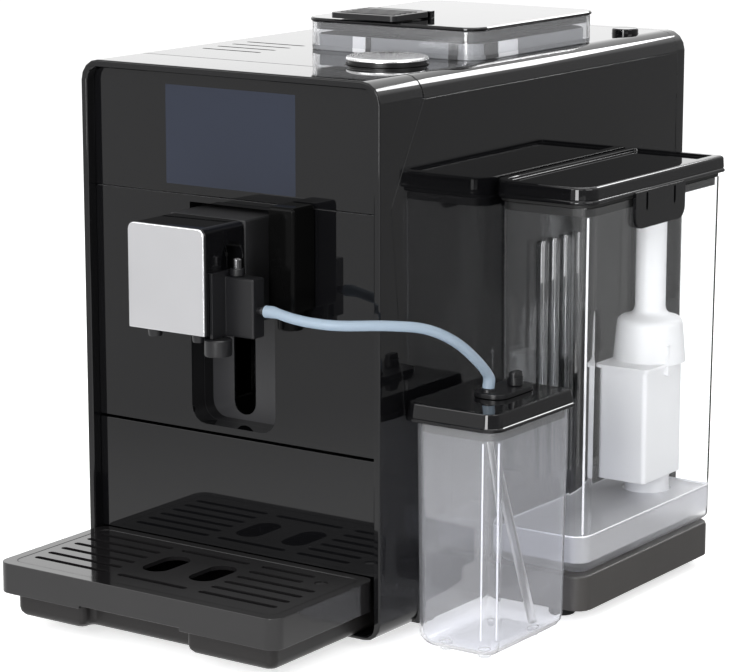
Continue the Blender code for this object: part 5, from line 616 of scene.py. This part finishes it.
class StageOperator(bpy.types.Operator):
    """Camera, lamps, world and the pale floor."""

    bl_idname = "coffee_machine.stage"
    bl_label = "Stage"

    def execute(self, context):
        scene = context.scene
        scene.view_settings.view_transform = "Standard"
        camera = bpy.data.cameras.new("camera")
        camera.lens = CAMERA_LENS
        camera.sensor_width = CAMERA_SENSOR
        camera.clip_start = 0.01
        scene.camera = add_object("camera", camera)
        scene.camera.location = CAMERA_PLACE
        turn = (math.radians(90.0 - CAMERA_DOWN), 0.0, math.radians(CAMERA_TURN))
        scene.camera.rotation_euler = turn
        self.light_world(scene)
        self.lay_floor()
        for name, place, size, power in LAMPS:
            lamp = bpy.data.lights.new(name, "AREA")
            lamp.shape = "RECTANGLE"
            lamp.size, lamp.size_y = size
            lamp.energy = power
            item = add_object(name, lamp)
            item.location = place
            item.rotation_euler = (LAMP_AIM - Vector(place)).to_track_quat("-Z", "Y").to_euler()
        return {"FINISHED"}

    def light_world(self, scene):
        """White where it is seen, dimmer as a light, and for gloss darker low on the right side."""
        world = bpy.data.worlds.new("studio")
        world.use_nodes = True
        tree = world.node_tree
        tree.nodes.clear()
        end = tree.nodes.new("ShaderNodeOutputWorld")
        split = tree.nodes.new("ShaderNodeSeparateXYZ")
        feed(tree, split, {"Vector": add_node(tree, "TexCoord", "Generated", {})})
        left = ramp(tree, split.outputs["X"], (-0.35, 0.35), (1.0, 0.35), "SMOOTHSTEP")
        above = ramp(tree, split.outputs["Z"], (0.2, 0.5), (0.0, 1.0), "SMOOTHSTEP")
        behind = ramp(tree, split.outputs["Y"], (-0.1, 0.6), (0.9, 1.5), "SMOOTHSTEP")
        gloss = add_math(tree, "MULTIPLY", add_math(tree, "MAXIMUM", left, above), behind)
        less = add_math(tree, "SUBTRACT", gloss, 1.0)
        level = add_math(tree, "MULTIPLY_ADD", mirrored_rays(tree), less, 1.0)
        seen = add_node(tree, "Background", "Background", {"Color": WHITE, "Strength": level})
        lit = add_node(tree, "Background", "Background", {"Color": WHITE, "Strength": WORLD_LIGHT})
        mix = add_node(tree, "MixShader", "Shader", {"Fac": seen_rays(tree), 1: lit, 2: seen})
        feed(tree, end, {"Surface": mix})
        scene.world = world

    def lay_floor(self):
        """A pale floor that keeps the machine's shadow, with levels of its own for gloss."""
        form = bmesh.new()
        bmesh.ops.create_grid(form, x_segments=2, y_segments=2, size=FLOOR_SIZE)
        mesh = bpy.data.meshes.new("floor")
        form.to_mesh(mesh)
        form.free()
        floor = add_object("floor", mesh)
        material, tree, shader, place = new_finish("pale_floor")
        feed(tree, shader, {"Base Color": FLOOR_GREY, "Roughness": 0.9, "Specular IOR Level": 0.0})
        glow = add_math(tree, "MULTIPLY", seen_rays(tree), FLOOR_GLOW)
        both = add_node(tree, "AddShader", "Shader", {
            0: shader.outputs["BSDF"], 1: add_node(tree, "Emission", "Emission", {"Strength": glow}),
        })
        way = {0: place, 1: MIRRORED_WAY}
        reach = add_node(tree, "VectorMath", "Value", way, operation="DOT_PRODUCT")
        near = ramp(tree, reach, (-0.75, -0.3), (1.0, 1.5), "SMOOTHSTEP")
        far = ramp(tree, reach, (-0.15, 0.15), (0.8, 0.22), "SMOOTHSTEP")
        level = add_math(tree, "MULTIPLY", near, far)
        mirrored = add_node(tree, "Emission", "Emission", {"Strength": level})
        mix = add_node(tree, "MixShader", "Shader", {"Fac": mirrored_rays(tree), 1: both, 2: mirrored})
        feed(tree, tree.nodes["Material Output"], {"Surface": mix})
        mesh.materials.append(material)


class HousingOperator(bpy.types.Operator):
    """Bezel, side, top and back panels, mains inlet and feet."""

    bl_idname = "coffee_machine.housing"
    bl_label = "Housing"

    def execute(self, context):
        dress("bezel", "front_bezel", 0.25, "bezel", "housing", "dark_bezel")
        for side in ("left", "right"):
            dress(f"{side}_panel", f"side_panel_{side}", 0.3, "piano", "housing", "gloss_black")
        dress("top", "top_panel", 0.3, "piano", "housing", "gloss_black")
        dress("back", "back_cover", 0.2, "piano", "housing", "gloss_black")
        self.add_inlet()
        self.add_back_screws()
        for node in sorted(FRAME["nodes"]):
            if node.startswith("foot_"):
                low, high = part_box(node)
                middle = measured((low + high) / 2)
                form = spun([
                    (0.0, -0.3), (8.4, -0.3), (9.0, -0.9), (9.0, -6.6), (8.3, -7.6), (7.2, -8.0),
                    (5.0, -8.0), (4.6, -7.6), (0.0, -7.6),
                ], middle.x, middle.y)
                name = node.replace("foot", "rubber_foot")
                add_piece(name, form, "rubber", "housing", "foot_rubber", node)
        return {"FINISHED"}

    def add_inlet(self):
        """The inlet's body and its three pins in metal."""
        form = softened("power_inlet", 0.3)
        for face in form.faces:
            x, y, z = measured(face.calc_center_median())
            if 358.5 < y < 373.0 and abs(x - 45.0) < 8.6 and 37.0 < z < 45.0:
                face.material_index = 1
        add_piece("mains_inlet", form, ("satin", "chrome"), "housing", "matte_black", "power_inlet")

    def add_back_screws(self):
        """Four sunk screws that hold the back cover."""
        for column, x in (("left", 16.0), ("right", 213.5)):
            for row, z in (("low", 18.0), ("high", 322.0)):
                head = disc(x, 0.0, (373.7, 374.75), 3.0, steps=24)
                form = cut(head, block((x - 1.8, x + 1.8), (-0.35, 0.35), (374.2, 376.0)))
                form = cut(form, block((x - 0.35, x + 0.35), (-1.8, 1.8), (374.2, 376.0)))
                turned(form, -90.0, "X", house(x, 0.0, 0.0))
                bmesh.ops.translate(form, vec=Vector((0.0, 0.0, z)) * MM, verts=form.verts)
                add_piece(f"back_screw_{row}_{column}", form, "matte", "housing", "matte_black")


class FrontOperator(bpy.types.Operator):
    """Upper glass with the display window, middle fascia and the spout's niche."""

    bl_idname = "coffee_machine.front"
    bl_label = "Front panels"

    def execute(self, context):
        form = softened("upper_glass", 0.3)
        across, upward = (62.3, 162.3), (267.2, 329.3)
        for axis, limits in ((0, across), (2, upward)):
            for limit in limits:
                place = house(limit, 0.0, limit)
                normal = Vector((0.0, 0.0, 0.0))
                normal[axis] = 1.0
                geometry = form.verts[:] + form.edges[:] + form.faces[:]
                bmesh.ops.bisect_plane(
                    form, geom=geometry, plane_co=place, plane_no=normal, dist=MERGED,
                )
        for face in form.faces:
            x, y, z = measured(face.calc_center_median())
            if y < 7.6 and across[0] < x < across[1] and upward[0] < z < upward[1]:
                face.material_index = 1
        add_piece("glass_front", form, ("glass", "screen"), "housing", "front_glass", "upper_glass")
        dress("screen_module", "display_module", 0.3, "module", "housing", "display_grey")
        fascia = softened("middle_fascia", 0.5, 3)
        fascia.normal_update()
        # Bevel faces along the fascia's top front edge take the light grey: a painted highlight line.
        top = measured(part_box("middle_fascia")[1]).z
        for face in fascia.faces:
            height = measured(face.calc_center_median()).z
            if height > top - 0.7 and face.normal.y < 0.5 and face.normal.z > 0.1:
                face.material_index = 1
        add_piece("fascia", fascia, ("piano", "painted_edge_highlight"), "housing", "gloss_black", "middle_fascia")
        liner = softened("spout_recess", 0.6, 3)
        liner.normal_update()
        # The liner's front-facing faces take the lighter copy: painted light on the back wall of the
        # niche.
        for face in liner.faces:
            if face.normal.y < -0.9:
                face.material_index = 1
        finishes = ("niche", "niche_painted_light")
        add_piece("niche_liner", liner, finishes, "housing", "matte_black", "spout_recess")
        return {"FINISHED"}


class SpoutOperator(bpy.types.Operator):
    """Sliding spout: head, plate, carriage, nozzles and the milk frother."""

    bl_idname = "coffee_machine.spout"
    bl_label = "Spout"

    def execute(self, context):
        small = context.scene.machine_sizes.small_edge
        dress("head", "spout_head", 2 * small, "piano", "spout", "gloss_black", 3)
        plate = block((84.0, 142.0), (-58.0, -56.3), (189.0, 254.0))
        middle = house(0, 0, 221.5).z
        bevel(plate, [e for e in plate.edges if along(e, 1) and e.verts[0].co.z > middle], 5.0, 10)
        bevel(plate, sharp_edges(plate, 50.0), 0.7, 3)
        add_piece("head_plate", plate, "plate", "spout", "satin_silver", "spout_face_plate")
        dress("carriage", "spout_carriage", 0.2, "matte", "spout", "matte_black")
        for side, x in (("left", 96.0), ("right", 130.0)):
            form = spun([
                (4.9, 199.7), (4.9, 188.6), (4.6, 187.2), (4.2, 183.6), (3.9, 183.0), (3.3, 183.0),
                (3.0, 183.4), (3.0, 199.7), (4.9, 199.7),
            ], x, -47.3)
            node = f"coffee_nozzle_{side}"
            add_piece(f"{side}_nozzle", form, "satin", "spout", "matte_black", node)
        self.add_frother(small)
        return {"FINISHED"}

    def add_frother(self, small):
        """The frother's body with the ribs along its seams, the ridged cap and the outlet."""
        dress("frother", "frother_body", small, "satin", "spout", "gloss_black")
        cap = spun([
            (0.0, 234.8), (2.9, 234.8), (3.5, 234.2), (3.7, 233.4), (3.7, 228.6), (4.1, 228.4),
            (4.5, 228.0), (4.5, 224.3), (4.2, 223.8), (0.0, 223.8),
        ], 149.0, -33.9)
        mark_below(cap, 228.7)
        add_piece("frother_knob", cap, ("cap", "satin"), "spout", "cap_grey", "frother_cap")
        outlet = spun([
            (7.7, 186.7), (8.5, 186.0), (8.5, 177.1), (8.1, 176.4), (7.6, 176.2), (6.4, 176.2),
            (6.0, 176.6), (6.0, 184.1), (3.0, 186.7), (7.7, 186.7),
        ], 144.0, -47.0)
        add_piece("outlet", outlet, "satin", "spout", "matte_black", "milk_outlet")


class HoseOperator(bpy.types.Operator):
    """Silicone hose from the frother's barb to the stub on the milk lid."""

    bl_idname = "coffee_machine.hose"
    bl_label = "Milk hose"

    ROUTE = (
        (170.3, -34.0, 204.0), (177.0, -34.0, 204.0), (190.0, -33.5, 201.8), (203.0, -30.0, 200.0),
        (218.0, -24.0, 199.2), (241.0, -6.0, 198.8), (255.0, 12.0, 195.3), (263.5, 30.0, 185.7),
        (268.8, 45.4, 172.5), (271.2, 55.6, 161.0), (271.2, 56.0, 153.6),
    )

    def execute(self, context):
        radius = context.scene.machine_sizes.hose_radius
        path = self.smooth([house(*point) for point in self.ROUTE])
        length = sum((b - a).length for a, b in zip(path, path[1:]))
        cuff, flare = 0.009, 0.18  # the hose widens by this share over this length at each end
        curve = bpy.data.curves.new("hose_line", "CURVE")
        curve.dimensions = "3D"
        curve.bevel_depth = radius
        curve.bevel_resolution = 6
        curve.use_fill_caps = True
        line = curve.splines.new("POLY")
        line.points.add(len(path) - 1)
        travelled = 0.0
        for index, (point, place) in enumerate(zip(line.points, path)):
            travelled += (place - path[index - 1]).length if index else 0.0
            near = min(travelled, length - travelled)
            swell = max(0.0, 1.0 - near / cuff)
            point.co = (*place, 1.0)
            point.radius = 1.0 + flare * min(1.0, swell * 2.2)
        form = form_of(add_object("hose_line", curve))
        mesh = bpy.data.meshes.new("hose")
        bmesh.ops.remove_doubles(form, verts=form.verts, dist=MERGED)
        bmesh.ops.recalc_face_normals(form, faces=form.faces)
        form.to_mesh(mesh)
        form.free()
        mesh.shade_smooth()
        mesh.set_sharp_from_angle(angle=math.radians(50.0))
        hose = add_object("hose", mesh)
        mesh.materials.append(FINISHES["hose"])
        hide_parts("milk_hose")
        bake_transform(hose)
        return {"FINISHED"}

    def smooth(self, points):
        """A smooth line through points."""
        steps = 8
        points = [2 * points[0] - points[1], *points, 2 * points[-1] - points[-2]]
        line = []
        for before, start, end, after in zip(points, points[1:], points[2:], points[3:]):
            for step in range(steps):
                t = step / steps
                line.append(0.5 * (
                    2 * start
                    + (end - before) * t
                    + (2 * before - 5 * start + 4 * end - after) * t * t
                    + (3 * start - before - 3 * end + after) * t * t * t
                ))
        return [*line, points[-2]]


class WaterSpoutOperator(bpy.types.Operator):
    """Fixed hot-water spout and its nozzle."""

    bl_idname = "coffee_machine.water_spout"
    bl_label = "Hot-water spout"

    def execute(self, context):
        # The spout block and its nozzle take the near-black, barely glossy finish: painted shade.
        form = block((157.5, 177.5), (-15.5, 7.2), (199.5, 264.3))
        bevel(form, form.edges[:], 2.6, 5)
        add_piece("water_spout", form, "dim", "housing", "gloss_black", "hot_water_spout")
        nozzle = spun([
            (8.0, 199.2), (8.0, 189.4), (7.4, 188.2), (5.0, 188.2), (4.5, 188.7), (4.5, 199.2),
            (8.0, 199.2),
        ], 167.5, -5.2)
        add_piece("water_nozzle", nozzle, "dim", "housing", "matte_black", "hot_water_nozzle")
        return {"FINISHED"}


class DripTrayOperator(bpy.types.Operator):
    """Drip tray: rim, grid with its raised cup openings, basin and float."""

    bl_idname = "coffee_machine.drip_tray"
    bl_label = "Drip tray"

    def execute(self, context):
        dress("tray_rim", "drip_tray_rim", 0.4, "tray", "drip_tray", "tray_brown", 3)
        dress("tray_grid", "drip_grid", 0.3, "tray", "drip_grid", "tray_brown")
        dress("tray_basin", "drip_tray_basin", 0.25, "basin", "drip_tray", "tray_brown")
        float_form = spun([
            (0.0, 36.3), (2.9, 36.3), (3.6, 36.0), (3.9, 35.4), (3.9, 15.0), (6.1, 15.0), (6.5, 14.6),
            (6.5, 3.9), (6.1, 3.5), (0.0, 3.5),
        ], 199.5, -19.0)
        add_piece("float", float_form, "tray", "tray_float", "tray_brown", "tray_float")
        return {"FINISHED"}


class GroundsDrawerOperator(bpy.types.Operator):
    """Grounds drawer: its glossy front and the container behind it."""

    bl_idname = "coffee_machine.grounds_drawer"
    bl_label = "Grounds drawer"

    def execute(self, context):
        dress("drawer_front", "grounds_drawer_front", 0.35, "piano", "grounds_drawer", "gloss_black", 3)
        dress("grounds_box", "grounds_container", 0.3, "matte", "grounds_drawer", "matte_black")
        return {"FINISHED"}


class LedgeOperator(bpy.types.Operator):
    """Base plate with the ledge that carries the tank."""

    bl_idname = "coffee_machine.ledge"
    bl_label = "Base and ledge"

    def execute(self, context):
        dress("base", "base_chassis", 0.3, "ledge", "housing", "ledge_grey")
        return {"FINISHED"}


class WaterTankOperator(bpy.types.Operator):
    """Clear water tank with its hand grip, the valve and the white filter."""

    bl_idname = "coffee_machine.water_tank"
    bl_label = "Water tank"

    def execute(self, context):
        dress("tank", "water_tank", 0.3, "tank", "water_tank", "clear_tank")
        first, pitch, width = 176.0, 14.0, 6.0
        for index in range(context.scene.machine_sizes.grip_ribs):
            y = first + index * pitch
            rib = slab((234.4, 237.6), (y, y + width), (64.0, 223.0), 0, 2.9, 0.8)
            add_piece(f"grip_rib_{index + 1}", rib, "tank", "water_tank", "clear_tank")
        floor = stacked(*TANK_PLAN, (
            (3.0, 46.2), (2.4, 46.2), (2.1, 45.9), (2.1, 30.0), (2.4, 29.6), (2.9, 29.8), (2.9, 45.4),
        ))
        floor = cut(floor, disc(*TANK_OUTLET, (20.0, 50.0), 16.5))
        add_piece("tank_step", floor, "frost", "water_tank", "clear_tank")
        # A white ring along the step's inner edge paints the bright line where the frosted step meets
        # the clear wall.
        bead = stacked(*TANK_PLAN, ((2.05, 46.4), (2.05, 47.3)))
        inside = stacked(*TANK_PLAN, ((2.8, 40.0), (2.8, 50.0)))
        add_piece("tank_step_highlight", cut(bead, inside), "edge", "water_tank", "clear_tank")
        # A pale rod inside the tank's near corner paints the bright highlight line down that corner.
        corner = rod(296.6, 128.7, (47.5, 250.5), 0.7, 1.3)
        add_piece("tank_corner_glint", corner, "glint", "water_tank", "clear_tank")
        valve = spun([
            (0.0, 28.2), (10.6, 28.2), (11.0, 27.8), (11.0, 25.9), (7.0, 25.6), (7.0, 13.0),
            (6.1, 12.1), (0.0, 12.1),
        ], *TANK_OUTLET)
        add_piece("valve", valve, "satin", "tank_valve", "matte_black", "tank_valve")
        self.add_filter()
        return {"FINISHED"}

    def add_filter(self):
        """The filter's body, skirt and neck, and the clip on its side."""
        add_piece(
            "filter", softened("water_filter", 0.35, 2, 40.0), "white", "water_tank",
            "filter_white", "water_filter", smooth=45.0,
        )
        clip = slab((284.0, 287.6), (250.0, 260.0), (127.0, 148.0), 0, 2.0, 0.5)
        add_piece("filter_clip", clip, "white", "water_tank", "filter_white")


class TankLidOperator(bpy.types.Operator):
    """Tank lid with its sunk panel, latch tab and the seal under it."""

    bl_idname = "coffee_machine.tank_lid"
    bl_label = "Tank lid"

    def execute(self, context):
        lid = stacked(*TANK_LID_PLAN, (
            (7.6, 268.2), (7.15, 268.3), (7.0, 268.6), (7.0, 269.6), (6.7, 270.0), (2.8, 270.0),
            (2.1, 269.85), (1.5, 269.5), (1.0, 268.9), (0.8, 268.1), (0.5, 262.2), (0.75, 261.9),
            (0.75, 261.5), (0.25, 261.0), (0.0, 260.3), (0.1, 259.6), (0.5, 259.1), (6.7, 259.0),
            (7.0, 259.3), (7.0, 266.2),
        ))
        add_piece("lid_of_tank", lid, "piano", "tank_lid", "gloss_black", "tank_lid")
        tab = block((301.4, 303.95), (176.0, 240.0), (236.7, 260.5))
        low = [e for e in tab.edges if along(e, 0) and e.verts[0].co.z < house(0, 0, 240).z]
        bevel(tab, low, 8.0, 8)
        for y in (190.0, 226.0):
            slot = block((300.0, 306.0), (y - 1.2, y + 1.2), (247.8, 259.3))
            tab = cut(tab, bevel(slot, [e for e in slot.edges if along(e, 0)], 1.1, 4))
        bevel(tab, sharp_edges(tab, 50.0), 0.3, 2)
        add_piece("latch_tab", tab, "piano", "tank_lid", "gloss_black")
        for side, x in (("left", (251.2, 256.3)), ("right", (276.9, 282.0))):
            knuckle = slab(x, (293.8, 298.7), (253.9, 259.2), 0, 2.2)
            hole = disc(0.0, 0.0, (x[0] - 2.0, x[1] + 2.0), 1.4, 0.1, 24)
            turned(hole, 90.0, "Y", HOUSE_CORNER)
            bmesh.ops.translate(hole, vec=Vector((0.0, 296.3, 256.2)) * MM, verts=hole.verts)
            add_piece(f"lid_knuckle_{side}", cut(knuckle, hole), "piano", "tank_lid", "gloss_black")
        dress("tank_gasket", "tank_lid_seal", 0.2, "seal", "tank_lid", "seal_black")
        return {"FINISHED"}


class MilkContainerOperator(bpy.types.Operator):
    """Clear milk container, with pale rods that paint the bright highlight lines of its two near
    corners.
    """

    bl_idname = "coffee_machine.milk_container"
    bl_label = "Milk container"

    def execute(self, context):
        dress("milk_jar", "milk_container", 0.25, "milk", "milk_container", "clear_tank")
        for side, x, y in (("left", 291.4, 18.9), ("right", 298.1, 24.9)):
            # Pale rods inside the jar's two near corners: painted highlight lines.
            corner = rod(x, y, (6.0, 129.0), 0.5, 1.3)
            add_piece(f"jar_corner_glint_{side}", corner, "glint", "milk_container", "clear_tank")
        return {"FINISHED"}


class MilkLidOperator(bpy.types.Operator):
    """Milk lid, its gasket, the connector plate, the knob and the suction tube."""

    bl_idname = "coffee_machine.milk_lid"
    bl_label = "Milk lid"

    def execute(self, context):
        lid = stacked(*MILK_LID_PLAN, (
            (3.4, 148.2), (2.6, 148.05), (2.2, 147.5), (1.1, 139.6), (0.7, 139.3), (0.25, 139.3),
            (0.0, 139.0), (0.0, 137.6), (0.25, 137.3), (11.2, 137.3), (11.5, 137.6), (11.5, 146.0),
        ))
        add_piece("lid_of_jar", lid, "piano", "milk_lid", "gloss_black", "milk_lid")
        dress("jar_gasket", "milk_lid_seal", 0.2, "seal", "milk_lid", "seal_black")
        dress("connector", "milk_connector", 0.3, "satin", "milk_lid", "matte_black")
        add_piece(
            "dip_tube", softened("suction_tube", 0.1), "tube", "milk_lid", "clear_hose",
            "suction_tube", smooth=60.0,
        )
        knob = spun([
            (0.0, 160.1), (3.9, 160.1), (4.5, 159.7), (4.9, 159.0), (4.9, 152.0), (4.6, 151.6),
            (0.0, 151.6),
        ], 275.5, 80.0)
        for x in ((277.5, 281.5), (269.5, 273.5)):
            knob = cut(knob, block(x, (74.0, 86.0), (156.7, 161.0)))
        bevel(knob, sharp_edges(knob, 60.0), 0.25, 2)
        add_piece("jar_knob", knob, "satin", "milk_knob", "matte_black", "milk_knob")
        return {"FINISHED"}


class HopperOperator(bpy.types.Operator):
    """Bean hopper, a grey ring just inside its clear wall that paints the wall's sheen, and its inner
    fittings.
    """

    bl_idname = "coffee_machine.hopper"
    bl_label = "Bean hopper"

    def execute(self, context):
        dress("hopper", "bean_hopper", 0.25, "hopper", "housing", "clear_hopper")
        # A thin grey ring just inside the clear wall paints the pale sheen that the wall shows.
        chute = stacked(*HOPPER_PLAN, ((4.4, 339.6), (4.4, 352.0)))
        inside = stacked(*HOPPER_PLAN, ((5.0, 330.0), (5.0, 360.0)))
        add_piece("hopper_painted_sheen", cut(chute, inside), "chute", "housing", "clear_hopper")
        fittings = (
            ("post_left", (131.0, 134.6), (128.4, 129.2), "satin"),
            ("post_right", (194.0, 201.0), (128.4, 129.2), "satin"),
            ("pad_left", (120.5, 130.5), (128.4, 129.2), "white"),
            ("side_post", (212.0, 212.8), (140.0, 154.0), "satin"),
            ("side_pad", (212.0, 212.8), (155.0, 178.0), "white"),
        )
        for name, x, y, finish in fittings:
            form = block(x, y, (339.6, 352.0))
            bevel(form, form.edges[:], 0.3, 2)
            add_piece(f"hopper_{name}", form, finish, "housing", "clear_hopper")
        return {"FINISHED"}


class HopperLidOperator(bpy.types.Operator):
    """Hopper lid and the ribbed powder flap on it."""

    bl_idname = "coffee_machine.hopper_lid"
    bl_label = "Hopper lid"

    def execute(self, context):
        # The lid's faces below the hopper's rim take the grey too: painted sheen, so no dark band shows
        # through the wall.
        lid = mark_below(softened("hopper_lid", 0.25), 355.9)
        add_piece("lid_of_hopper", lid, ("piano", "chute"), "hopper_lid", "gloss_black", "hopper_lid")
        dress("flap", "powder_flap", 0.3, "satin", "powder_flap", "matte_black")
        first, pitch, width = 127.0, 6.2, 2.6
        for index in range(context.scene.machine_sizes.flap_ribs):
            y = first + index * pitch
            rib = slab((111.0, 153.0), (y, y + width), (367.2, 367.75), 2, 1.2, 0.2)
            add_piece(f"flap_rib_{index + 1}", rib, "satin", "powder_flap", "matte_black")
        return {"FINISHED"}


class ControlsOperator(bpy.types.Operator):
    """Grinder dial and power button."""

    bl_idname = "coffee_machine.controls"
    bl_label = "Dial and button"

    def execute(self, context):
        dial = spun([
            (0.0, 346.2), (21.5, 346.2), (23.0, 347.0), (24.5, 347.0), (25.4, 346.6), (25.8, 345.9),
            (25.8, 345.2), (24.6, 345.0), (24.6, 342.9), (26.0, 342.7), (26.0, 342.3), (4.0, 342.3),
            (4.0, 330.3), (0.0, 330.3),
        ], 176.7, 85.0, 96)
        mark_below(dial, 345.1)
        add_piece("dial", dial, ("dial", "satin"), "grinder_dial", "light_chrome", "grinder_dial")
        button = spun([
            (0.0, 345.5), (6.8, 345.5), (8.2, 345.7), (8.8, 345.3), (9.0, 344.7), (9.0, 339.2),
            (11.0, 339.2), (11.0, 337.7), (9.0, 337.7), (9.0, 329.2), (0.0, 329.2),
        ], 206.0, 330.0)
        add_piece("button", button, "piano", "power_button", "gloss_black", "power_button")
        return {"FINISHED"}


class InsideOperator(bpy.types.Operator):
    """Frame, grinder, brew unit, boilers, pump and control board inside the housing."""

    bl_idname = "coffee_machine.inside"
    bl_label = "Inside"

    GREY, METAL, GREEN = ("frame", "frame_grey"), ("cast", "boiler_metal"), ("board", "board_green")
    PIECES = (
        ("service_bay", GREY), ("inner_frame", GREY), ("grinder", GREY), ("grinder_motor", METAL),
        ("brew_chamber", GREY), ("brew_piston", METAL), ("pump", GREY), ("coffee_boiler", METAL),
        ("steam_boiler", METAL), ("control_board", GREEN),
    )

    def execute(self, context):
        for node, (finish, slot) in self.PIECES:
            body = "brew_piston" if node == "brew_piston" else "housing"
            dress(f"{node}_body", node, 0.3, finish, body, slot)
        return {"FINISHED"}


OPERATORS = (
    StageOperator, HousingOperator, FrontOperator, SpoutOperator, HoseOperator, WaterSpoutOperator,
    DripTrayOperator, GroundsDrawerOperator, LedgeOperator, WaterTankOperator, TankLidOperator,
    MilkContainerOperator, MilkLidOperator, HopperOperator, HopperLidOperator, ControlsOperator,
    InsideOperator,
)


class MachinePanel(bpy.types.Panel):
    """The machine's sizes, colours and pieces in the sidebar."""

    bl_idname = "VIEW3D_PT_coffee_machine"
    bl_label = "Coffee machine"
    bl_space_type = "VIEW_3D"
    bl_region_type = "UI"
    bl_category = "Coffee machine"

    def draw(self, context):
        for group in (context.scene.machine_sizes, context.scene.machine_colours):
            for name in group.__annotations__:
                self.layout.prop(group, name)
        for operator in OPERATORS:
            self.layout.operator(operator.bl_idname)


def register():
    """Register the classes and put the properties on the scene."""
    for item in (MachineColours, MachineSizes, *OPERATORS, MachinePanel):
        bpy.utils.register_class(item)
    bpy.types.Scene.machine_colours = bpy.props.PointerProperty(type=MachineColours)
    bpy.types.Scene.machine_sizes = bpy.props.PointerProperty(type=MachineSizes)


def unregister():
    """Take the properties and the classes away again."""
    del bpy.types.Scene.machine_sizes
    del bpy.types.Scene.machine_colours
    for item in reversed((MachineColours, MachineSizes, *OPERATORS, MachinePanel)):
        bpy.utils.unregister_class(item)


def clear_scene():
    """Remove what Blender's own start file brings, but not the frame."""
    for item in list(bpy.data.objects):
        if item.name in ("Cube", "Light", "Camera"):
            bpy.data.objects.remove(item, do_unlink=True)


def main():
    """Dress the whole machine."""
    register()
    clear_scene()
    make_finishes(bpy.context.scene.machine_colours)
    for operator in OPERATORS:
        family, name = operator.bl_idname.split(".")
        getattr(getattr(bpy.ops, family), name)()


if __name__ == "__main__":
    main()
